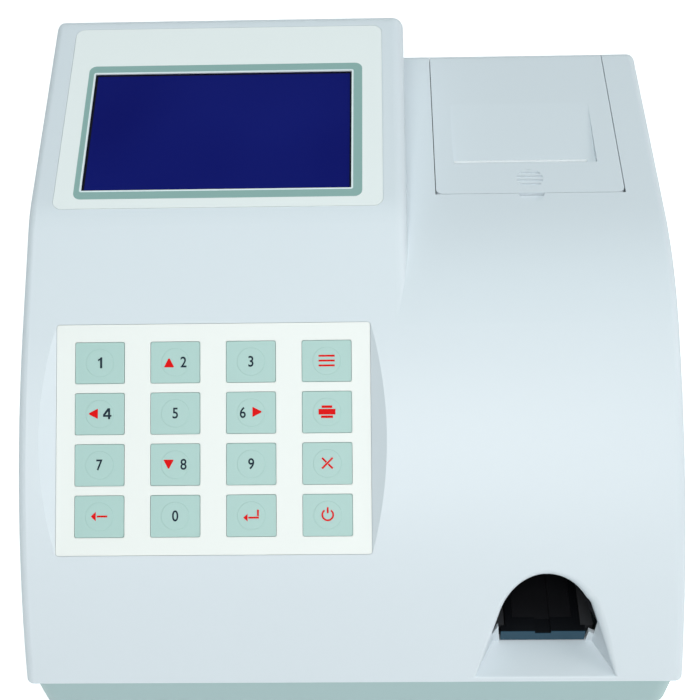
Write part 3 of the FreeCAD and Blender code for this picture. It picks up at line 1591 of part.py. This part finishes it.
def serial_port():
    flange = upright(serial_x, serial_flange_width, serial_flange_length, plate_y, plate_y + serial_plate)
    trim = plug_gap * 2
    body = joined(flange, upright(serial_x, serial_shell_width - trim, serial_shell_length - trim,
                                  plate_y - serial_body_depth, plate_y))
    face = plate_y + serial_plate
    long = serial_shell_width / 2 - plug_gap
    short = long - serial_taper
    high = serial_shell_length / 2 - plug_gap

    def shell(inset, y0, depth):
        points = [(-long + inset, high - inset), (long - inset, high - inset), (short - inset, -high + inset),
                  (-short + inset, -high + inset)]
        return prism([vec(serial_x + x, y0, recess_z + z) for x, z in points], vec(0, depth, 0))

    ring = shell(0, plate_y, serial_plate + serial_shell_height)
    body = joined(body, ring)
    body = body.cut(shell(serial_wall, face - serial_shell_height, serial_shell_height * 2))
    for row, count in ((0.5, 5), (-0.5, 4)):
        for i in range(count):
            x = serial_x + (i - (count - 1) / 2) * serial_pitch
            z = recess_z + row * serial_pitch
            body = body.fuse(rod(serial_pin_radius, vec(x, face - serial_shell_height, z), back,
                                 serial_pin_length))
    for side in (-1, 1):
        post = rod(jack_radius, vec(serial_x + side * jack_spacing / 2, face, recess_z), back, jack_height)
        post = post.cut(rod(jack_radius / 2, vec(serial_x + side * jack_spacing / 2, face, recess_z), back,
                            jack_height))
        body = body.fuse(post)
    return solid_of(body.removeSplitter())


save("top_case", top_case())
save("base_case", base_case())
save("rubber_feet", feet())
save("case_screws", case_screws())
save("board_screws", board_screws())
save("keypad_bezel", keypad_bezel())
for row, names in enumerate(key_names):
    for column, name in enumerate(names):
        save("key_" + name, key(row, column))
save("key_mat", key_mat())
save("keypad_board", keypad_board())
save("display_label", display_label())
save("display_window", display_window())
save("lcd_bezel", lcd_bezel())
save("lcd_glass", lcd_glass())
save("lcd_board", lcd_board())
save("printer_cover", printer_cover())
save("cover_hinge_pin", cover_hinge_pin())
save("printer_frame", printer_frame())
save("thermal_head", thermal_head())
save("platen_roller", platen_roller())
save("platen_gear", printer_gear(platen_teeth, platen_at, train_angle, platen_shaft_radius + run_play))
save("printer_idler_gear", printer_gear(idler_teeth, idler_at, train_angle + 180 + 180 / idler_teeth,
                                        stud_radius + run_play))
save("printer_motor", printer_motor())
save("printer_motor_pinion", printer_motor_pinion())
save("paper_roll", paper_roll())
save("paper_spindle", paper_spindle())
save("paper_web", paper_web())
save("port_liner", port_liner())
save("strip_carriage", strip_carriage())
save("strip_tray", strip_tray())
save("reference_pad", reference_pad())
save("carriage_rack", carriage_rack())
save("drive_pinion", drive_pinion())
save("transport_bed", transport_bed())
save("drive_motor", drive_motor())
save("optical_head", optical_head())
save("optical_lens", optical_lens())
save("lamp_board", lamp_board())
save("home_sensor", home_sensor())
save("main_board", main_board())
save("power_board", power_board())
save("rear_panel", rear_panel())
save("power_inlet", power_inlet())
save("power_switch_housing", power_switch_housing())
save("power_rocker", power_rocker())
save("serial_port", serial_port())

# Places that the record needs, in metres
for name, frame, point in (("hinge", deck, vec(0, hinge_y, hinge_z)), ("roll", deck, vec(0, *roll_at)),
                           ("platen", deck, vec(0, *platen_at)), ("idler", deck, vec(0, *idler_at)),
                           ("motor", deck, vec(0, *motor_at)), ("keypad", keypad, vec(0, 0, 0))):
    place = frame.multVec(point)
    print(name, round(place.y, 3), round(place.z, 3))
print("pinion", pinion_y, round(pinion_z, 3), "rocker", round(rocker_y, 3), recess_z,
      "slope", round(keypad_slope, 4))
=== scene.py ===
import bpy
import bmesh
import json
import math
from mathutils import Matrix, Vector


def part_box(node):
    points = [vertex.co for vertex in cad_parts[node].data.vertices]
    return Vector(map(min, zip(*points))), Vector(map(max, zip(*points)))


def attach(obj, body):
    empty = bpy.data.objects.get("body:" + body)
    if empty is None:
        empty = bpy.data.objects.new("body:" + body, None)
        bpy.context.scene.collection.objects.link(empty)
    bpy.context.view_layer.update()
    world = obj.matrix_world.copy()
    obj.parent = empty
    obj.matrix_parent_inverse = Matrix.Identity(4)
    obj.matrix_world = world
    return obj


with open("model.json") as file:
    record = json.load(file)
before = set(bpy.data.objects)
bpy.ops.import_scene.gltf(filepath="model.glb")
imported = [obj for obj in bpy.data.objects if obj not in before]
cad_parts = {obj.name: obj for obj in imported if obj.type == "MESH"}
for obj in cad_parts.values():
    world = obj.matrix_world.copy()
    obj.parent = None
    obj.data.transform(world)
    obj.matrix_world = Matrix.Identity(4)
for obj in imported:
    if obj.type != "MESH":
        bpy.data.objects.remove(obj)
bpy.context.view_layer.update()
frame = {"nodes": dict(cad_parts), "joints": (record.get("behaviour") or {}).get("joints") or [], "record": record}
nodes = frame["nodes"]
MM = 0.001

# Materials. Each is a Principled shader with a slow drift of its colour, a fine grain as bump
# and a little variation of roughness. The scales are those of noise textures.
DRIFT_SCALE, DRIFT_DETAIL = 9.0, 3.0
GRAIN_DETAIL, GRAIN_ROUGH, GRAIN_STRENGTH = 2.0, 0.6, 0.35
ROUGH_SPREAD = 0.06
COAT_ROUGHNESS = 0.12
BRUSH_SCALE, BRUSH_DETAIL, BRUSH_STRENGTH = 120.0, 3.0, 0.25
BRUSH_DEPTH = 0.02 * MM
BRUSH_DARK = 0.86
BRUSH_SMOOTHER, BRUSH_ROUGHER = 0.08, 0.12
SMEAR_SCALE, SMEAR_DETAIL = 30.0, 4.0
GLASS_IOR = 1.45
REFLECTION_DRIFT_SCALE, REFLECTION_DRIFT_DETAIL = 14.0, 1.0
DOT_PITCH, DOT_GAP = 0.85 * MM, 0.06 * MM
# The width over which a front colour turns into the painted shade behind it
SHADE_BLEND_WIDTH = 0.1 * MM

looks = {}


def shader_of(name):
    made, links = looks[name].node_tree.nodes, looks[name].node_tree.links
    return made, links, made["Principled BSDF"]


def new_look(name):
    """A new material, kept in looks by its name."""
    looks[name] = bpy.data.materials.new(name)
    looks[name].use_nodes = True
    return shader_of(name)


def noise(made, links, vector, scale, detail, rough=0.5):
    node = made.new("ShaderNodeTexNoise")
    node.inputs["Scale"].default_value = scale
    node.inputs["Detail"].default_value = detail
    node.inputs["Roughness"].default_value = rough
    links.new(vector, node.inputs["Vector"])
    return node.outputs["Fac"]


def object_coords(made):
    return made.new("ShaderNodeTexCoord").outputs["Object"]


def spread(made, links, source, low, high):
    node = made.new("ShaderNodeMapRange")
    node.inputs["To Min"].default_value = low
    node.inputs["To Max"].default_value = high
    links.new(source, node.inputs["Value"])
    return node.outputs["Result"]


def blend(made, links, shader, factor, first, second=None):
    """Colours the shader by a mix. Without a second colour, the shader's present colour is it."""
    mix = made.new("ShaderNodeMix")
    mix.data_type = "RGBA"
    mix.inputs["A"].default_value = list(first) + [1]
    if second is None:
        links.new(shader.inputs["Base Color"].links[0].from_socket, mix.inputs["B"])
    else:
        mix.inputs["B"].default_value = list(second) + [1]
    links.new(factor, mix.inputs["Factor"])
    links.new(mix.outputs["Result"], shader.inputs["Base Color"])


def emboss(made, links, shader, height, strength, depth):
    bump = made.new("ShaderNodeBump")
    bump.inputs["Strength"].default_value = strength
    bump.inputs["Distance"].default_value = depth
    links.new(height, bump.inputs["Height"])
    links.new(bump.outputs["Normal"], shader.inputs["Normal"])


def plastic(name, color, rough, grain, depth, vary, coat=0.0, specular=0.5):
    """Moulded plastic, rubber or paper. The depth of its grain is in millimetres."""
    made, links, shader = new_look(name)
    coords = object_coords(made)
    drift = noise(made, links, coords, DRIFT_SCALE, DRIFT_DETAIL)
    blend(made, links, shader, drift, [c * (1 - vary) for c in color],
          [min(1, c * (1 + vary)) for c in color])
    fine = noise(made, links, coords, grain, GRAIN_DETAIL, GRAIN_ROUGH)
    emboss(made, links, shader, fine, GRAIN_STRENGTH, depth * MM)
    links.new(spread(made, links, fine, rough - ROUGH_SPREAD, rough + ROUGH_SPREAD),
              shader.inputs["Roughness"])
    shader.inputs["Coat Weight"].default_value = coat
    shader.inputs["Coat Roughness"].default_value = COAT_ROUGHNESS
    shader.inputs["Specular IOR Level"].default_value = specular


def brushed(name, color, rough, along=(1.0, 40.0, 40.0)):
    """Metal with fine lines. The noise is squeezed by the numbers in along, axis by axis."""
    made, links, shader = new_look(name)
    mapping = made.new("ShaderNodeMapping")
    mapping.inputs["Scale"].default_value = along
    links.new(object_coords(made), mapping.inputs["Vector"])
    lines = noise(made, links, mapping.outputs["Vector"], BRUSH_SCALE, BRUSH_DETAIL)
    blend(made, links, shader, lines, [c * BRUSH_DARK for c in color], color)
    links.new(spread(made, links, lines, rough - BRUSH_SMOOTHER, rough + BRUSH_ROUGHER),
              shader.inputs["Roughness"])
    emboss(made, links, shader, lines, BRUSH_STRENGTH, BRUSH_DEPTH)
    shader.inputs["Metallic"].default_value = 1.0


def glass(name, alpha, smooth, smeared):
    """A see-through shader with a smeared surface. The caller gives it its colour."""
    made, links, shader = new_look(name)
    coords = object_coords(made)
    smear = noise(made, links, coords, SMEAR_SCALE, SMEAR_DETAIL)
    links.new(spread(made, links, smear, smooth, smeared), shader.inputs["Roughness"])
    shader.inputs["Alpha"].default_value = alpha
    shader.inputs["IOR"].default_value = GLASS_IOR
    looks[name].surface_render_method = "BLENDED"
    return made, links, shader, coords


def clear(name, color, alpha):
    """Clear glass with a slight tint."""
    shader = glass(name, alpha, 0.02, 0.09)[2]
    shader.inputs["Base Color"].default_value = list(color) + [1]


def tinted_window(name, deep, reflected_blue):
    """A filter window: nearly all that shows is its own tint, a slow drift of two colours, from its deep blue to a
    brighter blue that is painted reflection.
    """
    made, links, shader, coords = glass(name, 0.94, 0.04, 0.14)
    drift = noise(made, links, coords, REFLECTION_DRIFT_SCALE, REFLECTION_DRIFT_DETAIL)
    blend(made, links, shader, drift, deep, reflected_blue)
    shader.inputs["Specular IOR Level"].default_value = 0.04


def display_blue(name):
    """Deep blue glass with the faint lattice of a dot display."""
    made, links, shader = new_look(name)
    brick = made.new("ShaderNodeTexBrick")
    brick.offset = 0.0
    brick.inputs["Scale"].default_value = 1.0
    brick.inputs["Brick Width"].default_value = DOT_PITCH
    brick.inputs["Row Height"].default_value = DOT_PITCH
    brick.inputs["Mortar Size"].default_value = DOT_GAP
    brick.inputs["Color1"].default_value = (0.0012, 0.0030, 0.118, 1)
    brick.inputs["Color2"].default_value = (0.0016, 0.0034, 0.126, 1)
    brick.inputs["Mortar"].default_value = (0.0010, 0.0020, 0.085, 1)
    links.new(object_coords(made), brick.inputs["Vector"])
    links.new(brick.outputs["Color"], shader.inputs["Base Color"])
    shader.inputs["Roughness"].default_value = 0.35
    shader.inputs["Specular IOR Level"].default_value = 0.02


def front_then_painted_shade(name, front, rest, edge, rough):
    """The front face in one colour, before a plane across Y; behind it another colour, which is painted shade."""
    plastic(name, rest, rough, 1500.0, 0.02, 0.05, specular=0.15)
    made, links, shader = shader_of(name)
    axes = made.new("ShaderNodeSeparateXYZ")
    links.new(object_coords(made), axes.inputs["Vector"])
    share = made.new("ShaderNodeMapRange")
    share.inputs["From Min"].default_value = edge
    share.inputs["From Max"].default_value = edge + SHADE_BLEND_WIDTH
    links.new(axes.outputs["Y"], share.inputs["Value"])
    blend(made, links, shader, share.outputs["Result"], front)


# For plastic: name, colour, roughness, scale and depth of the grain, drift of the colour
carriage_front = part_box("strip_carriage")[0][1]
plastic("case_white", (0.700, 0.755, 0.795), 0.40, 2200.0, 0.03, 0.010, specular=0.40)
# base_white is the case's white plastic made darker and tealer: painted shade of the undercut base, which faces
# down
plastic("base_white", (0.370, 0.515, 0.515), 0.45, 2200.0, 0.03, 0.015)
plastic("foot_rubber", (0.03, 0.03, 0.033), 0.75, 900.0, 0.06, 0.15)
brushed("screw_steel", (0.60, 0.61, 0.63), 0.32, (1.0, 1.0, 1.0))
plastic("bezel_white", (0.815, 0.838, 0.808), 0.42, 1500.0, 0.02, 0.008)
plastic("key_grey", (0.372, 0.565, 0.528), 0.42, 1500.0, 0.02, 0.015)
plastic("mat_rubber", (0.60, 0.62, 0.62), 0.65, 900.0, 0.04, 0.05)
plastic("board_green", (0.02, 0.13, 0.055), 0.35, 300.0, 0.05, 0.2, coat=0.3)
plastic("label_film", (0.855, 0.895, 0.885), 0.32, 1800.0, 0.01, 0.008, coat=0.1)
# The brighter of the lens's two blues is painted reflection on the display
tinted_window("clear_lens", (0.0010, 0.0030, 0.118), (0.0080, 0.0150, 0.195))
plastic("panel_steel", (0.012, 0.014, 0.040), 0.5, 1200.0, 0.02, 0.05, specular=0.2)
display_blue("panel_blue")
plastic("chassis_grey", (0.030, 0.032, 0.036), 0.55, 1800.0, 0.04, 0.06, specular=0.3)
brushed("head_aluminium", (0.70, 0.71, 0.73), 0.35)
plastic("platen_rubber", (0.035, 0.035, 0.04), 0.7, 1200.0, 0.04, 0.1)
plastic("gear_plastic", (0.74, 0.72, 0.64), 0.42, 1500.0, 0.02, 0.03)
plastic("paper_white", (0.91, 0.95, 0.97), 0.75, 1400.0, 0.04, 0.02)
plastic("liner_black", (0.0025, 0.0028, 0.0045), 0.45, 1800.0, 0.02, 0.2, specular=0.08)
# The carriage's grey-blue front face is its own colour; the near black behind it is painted shade of the strip
# port's dark interior
front_then_painted_shade("carriage_grey", (0.031, 0.082, 0.125), (0.0030, 0.0036, 0.0050),
         carriage_front + 0.2 * MM, 0.45)
# tray_white is given near black, like the carriage behind its front face: painted shade of the strip port's dark
# interior
plastic("tray_white", (0.0035, 0.0038, 0.0052), 0.5, 1500.0, 0.02, 0.05, specular=0.3)
plastic("pad_ceramic", (0.85, 0.85, 0.84), 0.5, 1200.0, 0.02, 0.02)
plastic("optic_black", (0.0030, 0.0032, 0.0045), 0.5, 1500.0, 0.03, 0.1, specular=0.3)
clear("optic_glass", (0.70, 0.80, 0.85), 0.3)
plastic("connector_black", (0.02, 0.02, 0.022), 0.42, 1500.0, 0.03, 0.1)
plastic("rocker_black", (0.03, 0.03, 0.033), 0.3, 1500.0, 0.02, 0.1)
brushed("connector_metal", (0.62, 0.63, 0.65), 0.34)
for entry in frame["record"]["subparts"]:
    item = nodes[entry["node"]]
    for holder in item.material_slots:
        holder.material = looks[entry["material_slot"]]

# Printed marks, and one painted shadow. They lie a little above the face that they are printed on. All outlines
# are in millimetres, in the plane of that face.
PRINT_LIFT = 0.03
PRINT_THICK = 0.02
LINE_LIFT = 0.04
SHADOW_LIFT = 0.02


def ink_or_painted_shadow(name, color, rough=0.45):
    plastic(name, color, rough, 1500.0, 0.01, 0.02, specular=0.06)


ink_or_painted_shadow("ink_dark", (0.012, 0.026, 0.040))
ink_or_painted_shadow("ink_red", (0.76, 0.0015, 0.0025))
ink_or_painted_shadow("ink_border", (0.285, 0.450, 0.425), 0.35)
# This ink is no print: it is painted shadow of the window's frame on the display glass
ink_or_painted_shadow("frame_shadow_ink", (0.0015, 0.0020, 0.0080), 0.35)
ink_or_painted_shadow("ink_line", (0.80, 0.88, 0.90), 0.35)


def rest_on(body, name, mesh, place, material):
    piece = bpy.data.objects.new(name, mesh)
    bpy.context.collection.objects.link(piece)
    mesh.transform(place)
    mesh.materials.clear()
    mesh.materials.append(material)
    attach(piece, body)


def middle_of(box):
    low, high = box
    return (Vector(low) + Vector(high)) / 2


def on_face(node, middle, angle):
    """A plane at the angle over the point middle, level with the node's highest vertex."""
    normal = Vector((0, -math.sin(angle), math.cos(angle)))
    reach = max(v.co @ normal for v in nodes[node].data.vertices)
    centre = middle + normal * (reach - middle @ normal)
    return Matrix.Translation(centre) @ Matrix.Rotation(angle, 4, "X")


def to_mesh(bm, name):
    mesh = bpy.data.meshes.new(name)
    bm.to_mesh(mesh)
    bm.free()
    return mesh


def level(bm, outline, z):
    return [bm.verts.new((x * MM, y * MM, z * MM)) for x, y in outline]


def solid(name, outlines):
    """Closed outlines as thin solid shapes."""
    bm = bmesh.new()
    for outline in outlines:
        low = level(bm, outline, PRINT_LIFT - PRINT_THICK)
        high = level(bm, outline, PRINT_LIFT)
        bm.faces.new(high)
        bm.faces.new(list(reversed(low)))
        for i in range(len(outline)):
            j = (i + 1) % len(outline)
            bm.faces.new((low[i], low[j], high[j], high[i]))
    bmesh.ops.recalc_face_normals(bm, faces=bm.faces)
    return to_mesh(bm, name)


def band(name, outer, inner, lift):
    """A flat ring between two outlines with the same number of points."""
    bm = bmesh.new()
    a = level(bm, outer, lift)
    b = level(bm, inner, lift)
    for i in range(len(outer)):
        j = (i + 1) % len(outer)
        bm.faces.new((a[i], a[j], b[j], b[i]))
    return to_mesh(bm, name)


def rounded(cx, cy, width, height, radius, steps=8):
    points = []
    for k, (sx, sy) in enumerate(((1, 1), (-1, 1), (-1, -1), (1, -1))):
        for i in range(steps + 1):
            angle = math.radians(90 * k + 90 * i / steps)
            points.append((cx + sx * (width / 2 - radius) + radius * math.cos(angle),
                           cy + sy * (height / 2 - radius) + radius * math.sin(angle)))
    return points


def bar(x0, y0, x1, y1):
    return [(x0, y0), (x1, y0), (x1, y1), (x0, y1)]


def ring(cx, cy, radius, wide, start, end, steps=28):
    """Part of a ring as one closed outline, from one angle to another."""
    angles = [math.radians(start + (end - start) * i / steps) for i in range(steps + 1)]
    inner = radius - wide
    return ([(cx + radius * math.cos(a), cy + radius * math.sin(a)) for a in angles]
            + [(cx + inner * math.cos(a), cy + inner * math.sin(a)) for a in reversed(angles)])


def slanted(x0, y0, x1, y1, wide):
    """A straight stroke between two points."""
    dx, dy = x1 - x0, y1 - y0
    reach = math.hypot(dx, dy)
    ox, oy = -dy / reach * wide / 2, dx / reach * wide / 2
    return [(x0 + ox, y0 + oy), (x0 - ox, y0 - oy), (x1 - ox, y1 - oy), (x1 + ox, y1 + oy)]


# The marks on the keys: digits, red arrows and red signs
TEXT_SIZE = 6.0
TEXT_BOLDER = 0.09
TEXT_THICK = 0.01
TEXT_LIFT = 0.02
TEXT_NARROWED = 0.88
SIGN_SCALE = 1.25

KEY_ROWS = (
    ("clear", "0", "enter", "start"),
    ("7", "8", "9", "cancel"),
    ("4", "5", "6", "print"),
    ("1", "2", "3", "menu"),
)
SIGNS = {
    "menu": [bar(-2.6, 1.25, 2.6, 1.85), bar(-2.6, -0.3, 2.6, 0.3), bar(-2.6, -1.85, 2.6, -1.25)],
    "print": [bar(-2.7, -0.9, 2.7, 0.9), bar(-1.7, 1.2, 1.7, 2.0), bar(-1.9, -2.0, 1.9, -1.2)],
    "cancel": [slanted(-1.7, -1.7, 1.7, 1.7, 0.6), slanted(-1.7, 1.7, -0.3, 0.3, 0.6),
               slanted(0.3, -0.3, 1.7, -1.7, 0.6)],
    "clear": [[(-2.7, 0), (-1.1, 1.5), (-1.1, -1.5)], bar(-0.8, -0.3, 2.6, 0.3)],
    "enter": [[(-2.6, -0.7), (-1.2, 0.5), (-1.2, -1.9)], bar(-1.0, -1.0, 2.4, -0.4),
              bar(1.8, -0.2, 2.4, 1.8)],
    "start": [ring(0, 0, 2.0, 0.55, 125, 415), bar(-0.28, 0.5, 0.28, 2.4)],
}
DRAWN_DIGITS = {
    "1": [[(0.95, -2.2), (0.95, 2.2), (0.3, 2.2), (-0.05, 1.75), (-0.75, 1.3), (-0.75, 0.6),
           (0.05, 1.05), (0.05, -2.2)]],
    "4": [[(0.35, 2.2), (0.35, 0.9), (-0.75, -0.5), (-1.65, -0.5), (-1.65, -0.35), (0.2, 2.2)],
          bar(0.35, -2.2, 1.2, 2.2), bar(-1.65, -1.25, 0.35, -0.5), bar(1.2, -1.25, 1.75, -0.5)],
}
ARROW = ((1.75, 0.25), (-1.6, 2.0), (-1.8, 1.85), (-1.8, -1.85), (-1.6, -2.0), (1.75, -0.25))
# Where the arrow beside a digit stands, and its turn in degrees
ARROW_PLACES = {"2": (-2.5, -0.3, 90), "4": (-2.5, 0.0, 180), "6": (2.35, 0.2, 0),
                "8": (-2.65, 0.1, 270)}
# How far a digit with an arrow moves aside
DIGIT_SHIFTS = {"2": 3.3, "4": 3.0, "6": -3.3, "8": 3.3}


def text_mesh(name, words):
    """A digit as a thin mesh, centred on the origin."""
    curve = bpy.data.curves.new(name, "FONT")
    curve.body = words
    curve.size = TEXT_SIZE * MM
    curve.align_x = "CENTER"
    curve.align_y = "CENTER"
    curve.extrude = TEXT_THICK * MM
    curve.offset = TEXT_BOLDER * MM
    maker = bpy.data.objects.new(name + "_maker", curve)
    bpy.context.collection.objects.link(maker)
    bpy.context.view_layer.update()
    made = maker.evaluated_get(bpy.context.evaluated_depsgraph_get())
    mesh = bpy.data.meshes.new_from_object(made)
    bpy.data.objects.remove(maker)
    xs = [v.co.x for v in mesh.vertices]
    ys = [v.co.y for v in mesh.vertices]
    middle = ((min(xs) + max(xs)) / 2, (min(ys) + max(ys)) / 2)
    mesh.transform(Matrix.Translation((-middle[0], -middle[1], TEXT_LIFT * MM)))
    mesh.transform(Matrix.Diagonal((TEXT_NARROWED, 1.0, 1.0, 1.0)))
    return mesh


def turned(outline, x, y, degrees):
    a = math.radians(degrees)
    return [(x + px * math.cos(a) - py * math.sin(a), y + px * math.sin(a) + py * math.cos(a))
            for px, py in outline]


key_axis = Vector([j for j in frame["joints"] if j["name"] == "press_5"][0]["axis"])
key_slope = math.atan2(key_axis.y, -key_axis.z)
for names in KEY_ROWS:
    for label in names:
        place = on_face("key_" + label, middle_of(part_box("key_" + label)), key_slope)
        body = "button_" + label
        if label in SIGNS:
            drawn = [[(x * SIGN_SCALE, y * SIGN_SCALE) for x, y in line] for line in SIGNS[label]]
            sign = solid("sign_" + label, drawn)
            rest_on(body, "sign_" + label, sign, place, looks["ink_red"])
            continue
        offset = Matrix.Translation((DIGIT_SHIFTS.get(label, 0.0) * MM, 0, 0))
        if label in DRAWN_DIGITS:
            digit = solid("digit_" + label, DRAWN_DIGITS[label])
        else:
            digit = text_mesh("digit_" + label, label)
        rest_on(body, "digit_" + label, digit, place @ offset, looks["ink_dark"])
        if label in ARROW_PLACES:
            arrow = solid("arrow_" + label, [turned(ARROW, *ARROW_PLACES[label])])
            rest_on(body, "arrow_" + label, arrow, place, looks["ink_red"])

# Rings round the display window, in millimetres. Each lies between two outlines, and an
# outline is given by its middle, width, height and corner radius.
HOOD_SLOPE = math.radians(12.5)
WIDE, TALL = 112.0, 64.2
window_middle = middle_of(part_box("display_window"))
label_place = on_face("display_label", window_middle, HOOD_SLOPE)
window_place = on_face("display_window", window_middle, HOOD_SLOPE)
RINGS = (
    # The pale line next to the glass
    ("window_line", (0, 0, WIDE + 1.6, TALL + 1.6, 0.9), (0, 0, WIDE + 0.1, TALL + 0.1, 0.1),
     LINE_LIFT, label_place, "ink_line", "label_film"),
    # The printed border, broader at the right
    ("window_border", (0.75, 0, WIDE + 7.6, TALL + 9.1, 3.2),
     (0, 0, WIDE + 1.5, TALL + 1.5, 0.85), PRINT_LIFT, label_place, "ink_border", "label_film"),
    # Painted shadow of the window's frame on the glass: a dark band, broader at the left and the top
    ("window_frame_shadow", (0, 0, WIDE - 0.1, TALL - 0.1, 0.1), (0.15, -0.15, WIDE - 1.9, TALL - 1.7, 0.1),
     SHADOW_LIFT, window_place, "frame_shadow_ink", "panel_blue"),
)
for name, outer, inner, lift, place, ink, slot_name in RINGS:
    mesh = band(name, rounded(*outer), rounded(*inner), lift)
    rest_on("case", name, mesh, place, looks[ink])

# The end of the paper stands a little out of the slot, with a torn edge. Its two faces lie
# behind the front of the web, and its top leans back. The lengths are in millimetres.
PAPER_TEETH = 57
PAPER_FACES = (0.13, 0.25)
PAPER_LEAN = 0.15
PAPER_SUNK = 0.3
PAPER_OUT = 0.55
PAPER_TOOTH = 0.12


def torn_end(name):
    web_low, web_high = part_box("paper_web")
    bm = bmesh.new()
    rows = []
    for behind in PAPER_FACES:
        row = []
        for i in range(PAPER_TEETH + 1):
            x = web_low[0] + (web_high[0] - web_low[0]) * i / PAPER_TEETH
            top = PAPER_OUT + PAPER_TOOTH * (i % 2)
            row.append((
                bm.verts.new((x, web_low[1] + behind * MM, web_high[2] - PAPER_SUNK * MM)),
                bm.verts.new((x, web_low[1] + (behind + PAPER_LEAN) * MM, web_high[2] + top * MM))))
        rows.append(row)
    front, back = rows
    for i in range(PAPER_TEETH):
        for row in rows:
            bm.faces.new((row[i][0], row[i + 1][0], row[i + 1][1], row[i][1]))
        for k in (0, 1):
            bm.faces.new((front[i][k], front[i + 1][k], back[i + 1][k], back[i][k]))
    for i in (0, PAPER_TEETH):
        bm.faces.new((front[i][0], front[i][1], back[i][1], back[i][0]))
    bmesh.ops.recalc_face_normals(bm, faces=bm.faces)
    return to_mesh(bm, name)


rest_on("case", "paper_end", torn_end("paper_end"), Matrix.Identity(4), looks["paper_white"])

# Floor, world, lamps and camera. In metres.
FLOOR_SIZE = 6.0
FLOOR_DROP = 0.0005
FLOOR_GLOW = 0.60
WORLD_COLOR, WORLD_STRENGTH = (0.78, 0.96, 1.0, 1), 0.20
WHITE = (1, 1, 1, 1)
LAMP_SIZE = 1.2
LAMP_TARGET = (0, 0, 0.08)
LAMPS = (
    ("key_light", (0.0, -1.4, 1.7), 25.5, (1.0, 0.985, 0.975)),
    ("right_light", (1.8, -0.4, 1.2), 13.0, (1.0, 0.99, 0.99)),
    ("top_light", (0.0, 0.0, 2.2), 6.5, (0.68, 0.96, 1.0)),
)
CAMERA_TILT, CAMERA_YAW, CAMERA_ROLL = (math.radians(a) for a in (46.08, 1.397, -0.586))
CAMERA_PLACE = (0.01403, -0.4286, 0.5269)
CAMERA_LENS, CAMERA_SENSOR = 72.0, 36.0

bm = bmesh.new()
bmesh.ops.create_grid(bm, x_segments=1, y_segments=1, size=FLOOR_SIZE)
floor_mesh = to_mesh(bm, "floor")
floor = bpy.data.objects.new("floor", floor_mesh)
bpy.context.collection.objects.link(floor)
floor.location = (0, 0, -FLOOR_DROP)


def seen_share(made, links):
    """1 for rays from the camera, from mirrors and through glass, which see a white backdrop."""
    path = made.new("ShaderNodeLightPath")
    share = path.outputs["Is Camera Ray"]
    for kind in ("Is Glossy Ray", "Is Transmission Ray"):
        either = made.new("ShaderNodeMath")
        either.operation = "MAXIMUM"
        links.new(share, either.inputs[0])
        links.new(path.outputs[kind], either.inputs[1])
        share = either.outputs["Value"]
    return share


plastic("floor_white", (0.92, 0.93, 0.94), 0.9, 40.0, 0.1, 0.005, specular=0.1)
made, links, shader = shader_of("floor_white")
glow = made.new("ShaderNodeMath")
glow.operation = "MULTIPLY"
glow.inputs[1].default_value = FLOOR_GLOW
links.new(seen_share(made, links), glow.inputs[0])
shader.inputs["Emission Color"].default_value = WHITE
links.new(glow.outputs["Value"], shader.inputs["Emission Strength"])
floor_mesh.materials.append(looks["floor_white"])

world = bpy.data.worlds.new("studio")
world.use_nodes = True
made, links = world.node_tree.nodes, world.node_tree.links
light = made["Background"]
light.inputs["Color"].default_value = WORLD_COLOR
light.inputs["Strength"].default_value = WORLD_STRENGTH
backdrop = made.new("ShaderNodeBackground")
backdrop.inputs["Color"].default_value = WHITE
backdrop.inputs["Strength"].default_value = 1.0
sky = made.new("ShaderNodeMixShader")
links.new(seen_share(made, links), sky.inputs["Fac"])
links.new(light.outputs["Background"], sky.inputs[1])
links.new(backdrop.outputs["Background"], sky.inputs[2])
links.new(sky.outputs["Shader"], made["World Output"].inputs["Surface"])
bpy.context.scene.world = world

for name, where, power, color in LAMPS:
    data = bpy.data.lights.new(name, "AREA")
    data.shape = "RECTANGLE"
    data.size = data.size_y = LAMP_SIZE
    data.energy = power
    data.color = color
    lamp = bpy.data.objects.new(name, data)
    bpy.context.collection.objects.link(lamp)
    lamp.location = where
    aim = Vector(LAMP_TARGET) - Vector(where)
    lamp.rotation_euler = aim.to_track_quat("-Z", "Y").to_euler()

cos_tilt, sin_tilt = math.cos(CAMERA_TILT), math.sin(CAMERA_TILT)
cos_yaw, sin_yaw = math.cos(CAMERA_YAW), math.sin(CAMERA_YAW)
cos_roll, sin_roll = math.cos(CAMERA_ROLL), math.sin(CAMERA_ROLL)
level_right = Vector((cos_yaw, sin_yaw * cos_tilt, -sin_yaw * sin_tilt))
ahead = Vector((-sin_yaw, cos_yaw * cos_tilt, -cos_yaw * sin_tilt))
level_up = Vector((0, sin_tilt, cos_tilt))
right = level_right * cos_roll + level_up * sin_roll
up = level_up * cos_roll - level_right * sin_roll
camera_data = bpy.data.cameras.new("camera")
camera_data.sensor_width = CAMERA_SENSOR
camera_data.lens = CAMERA_LENS
camera_data.clip_start = 0.01
camera = bpy.data.objects.new("camera", camera_data)
bpy.context.collection.objects.link(camera)
turn = Matrix((right, up, -ahead)).transposed().to_4x4()
camera.matrix_world = Matrix.Translation(CAMERA_PLACE) @ turn
bpy.context.scene.camera = camera
bpy.context.scene.view_settings.view_transform = "Standard"
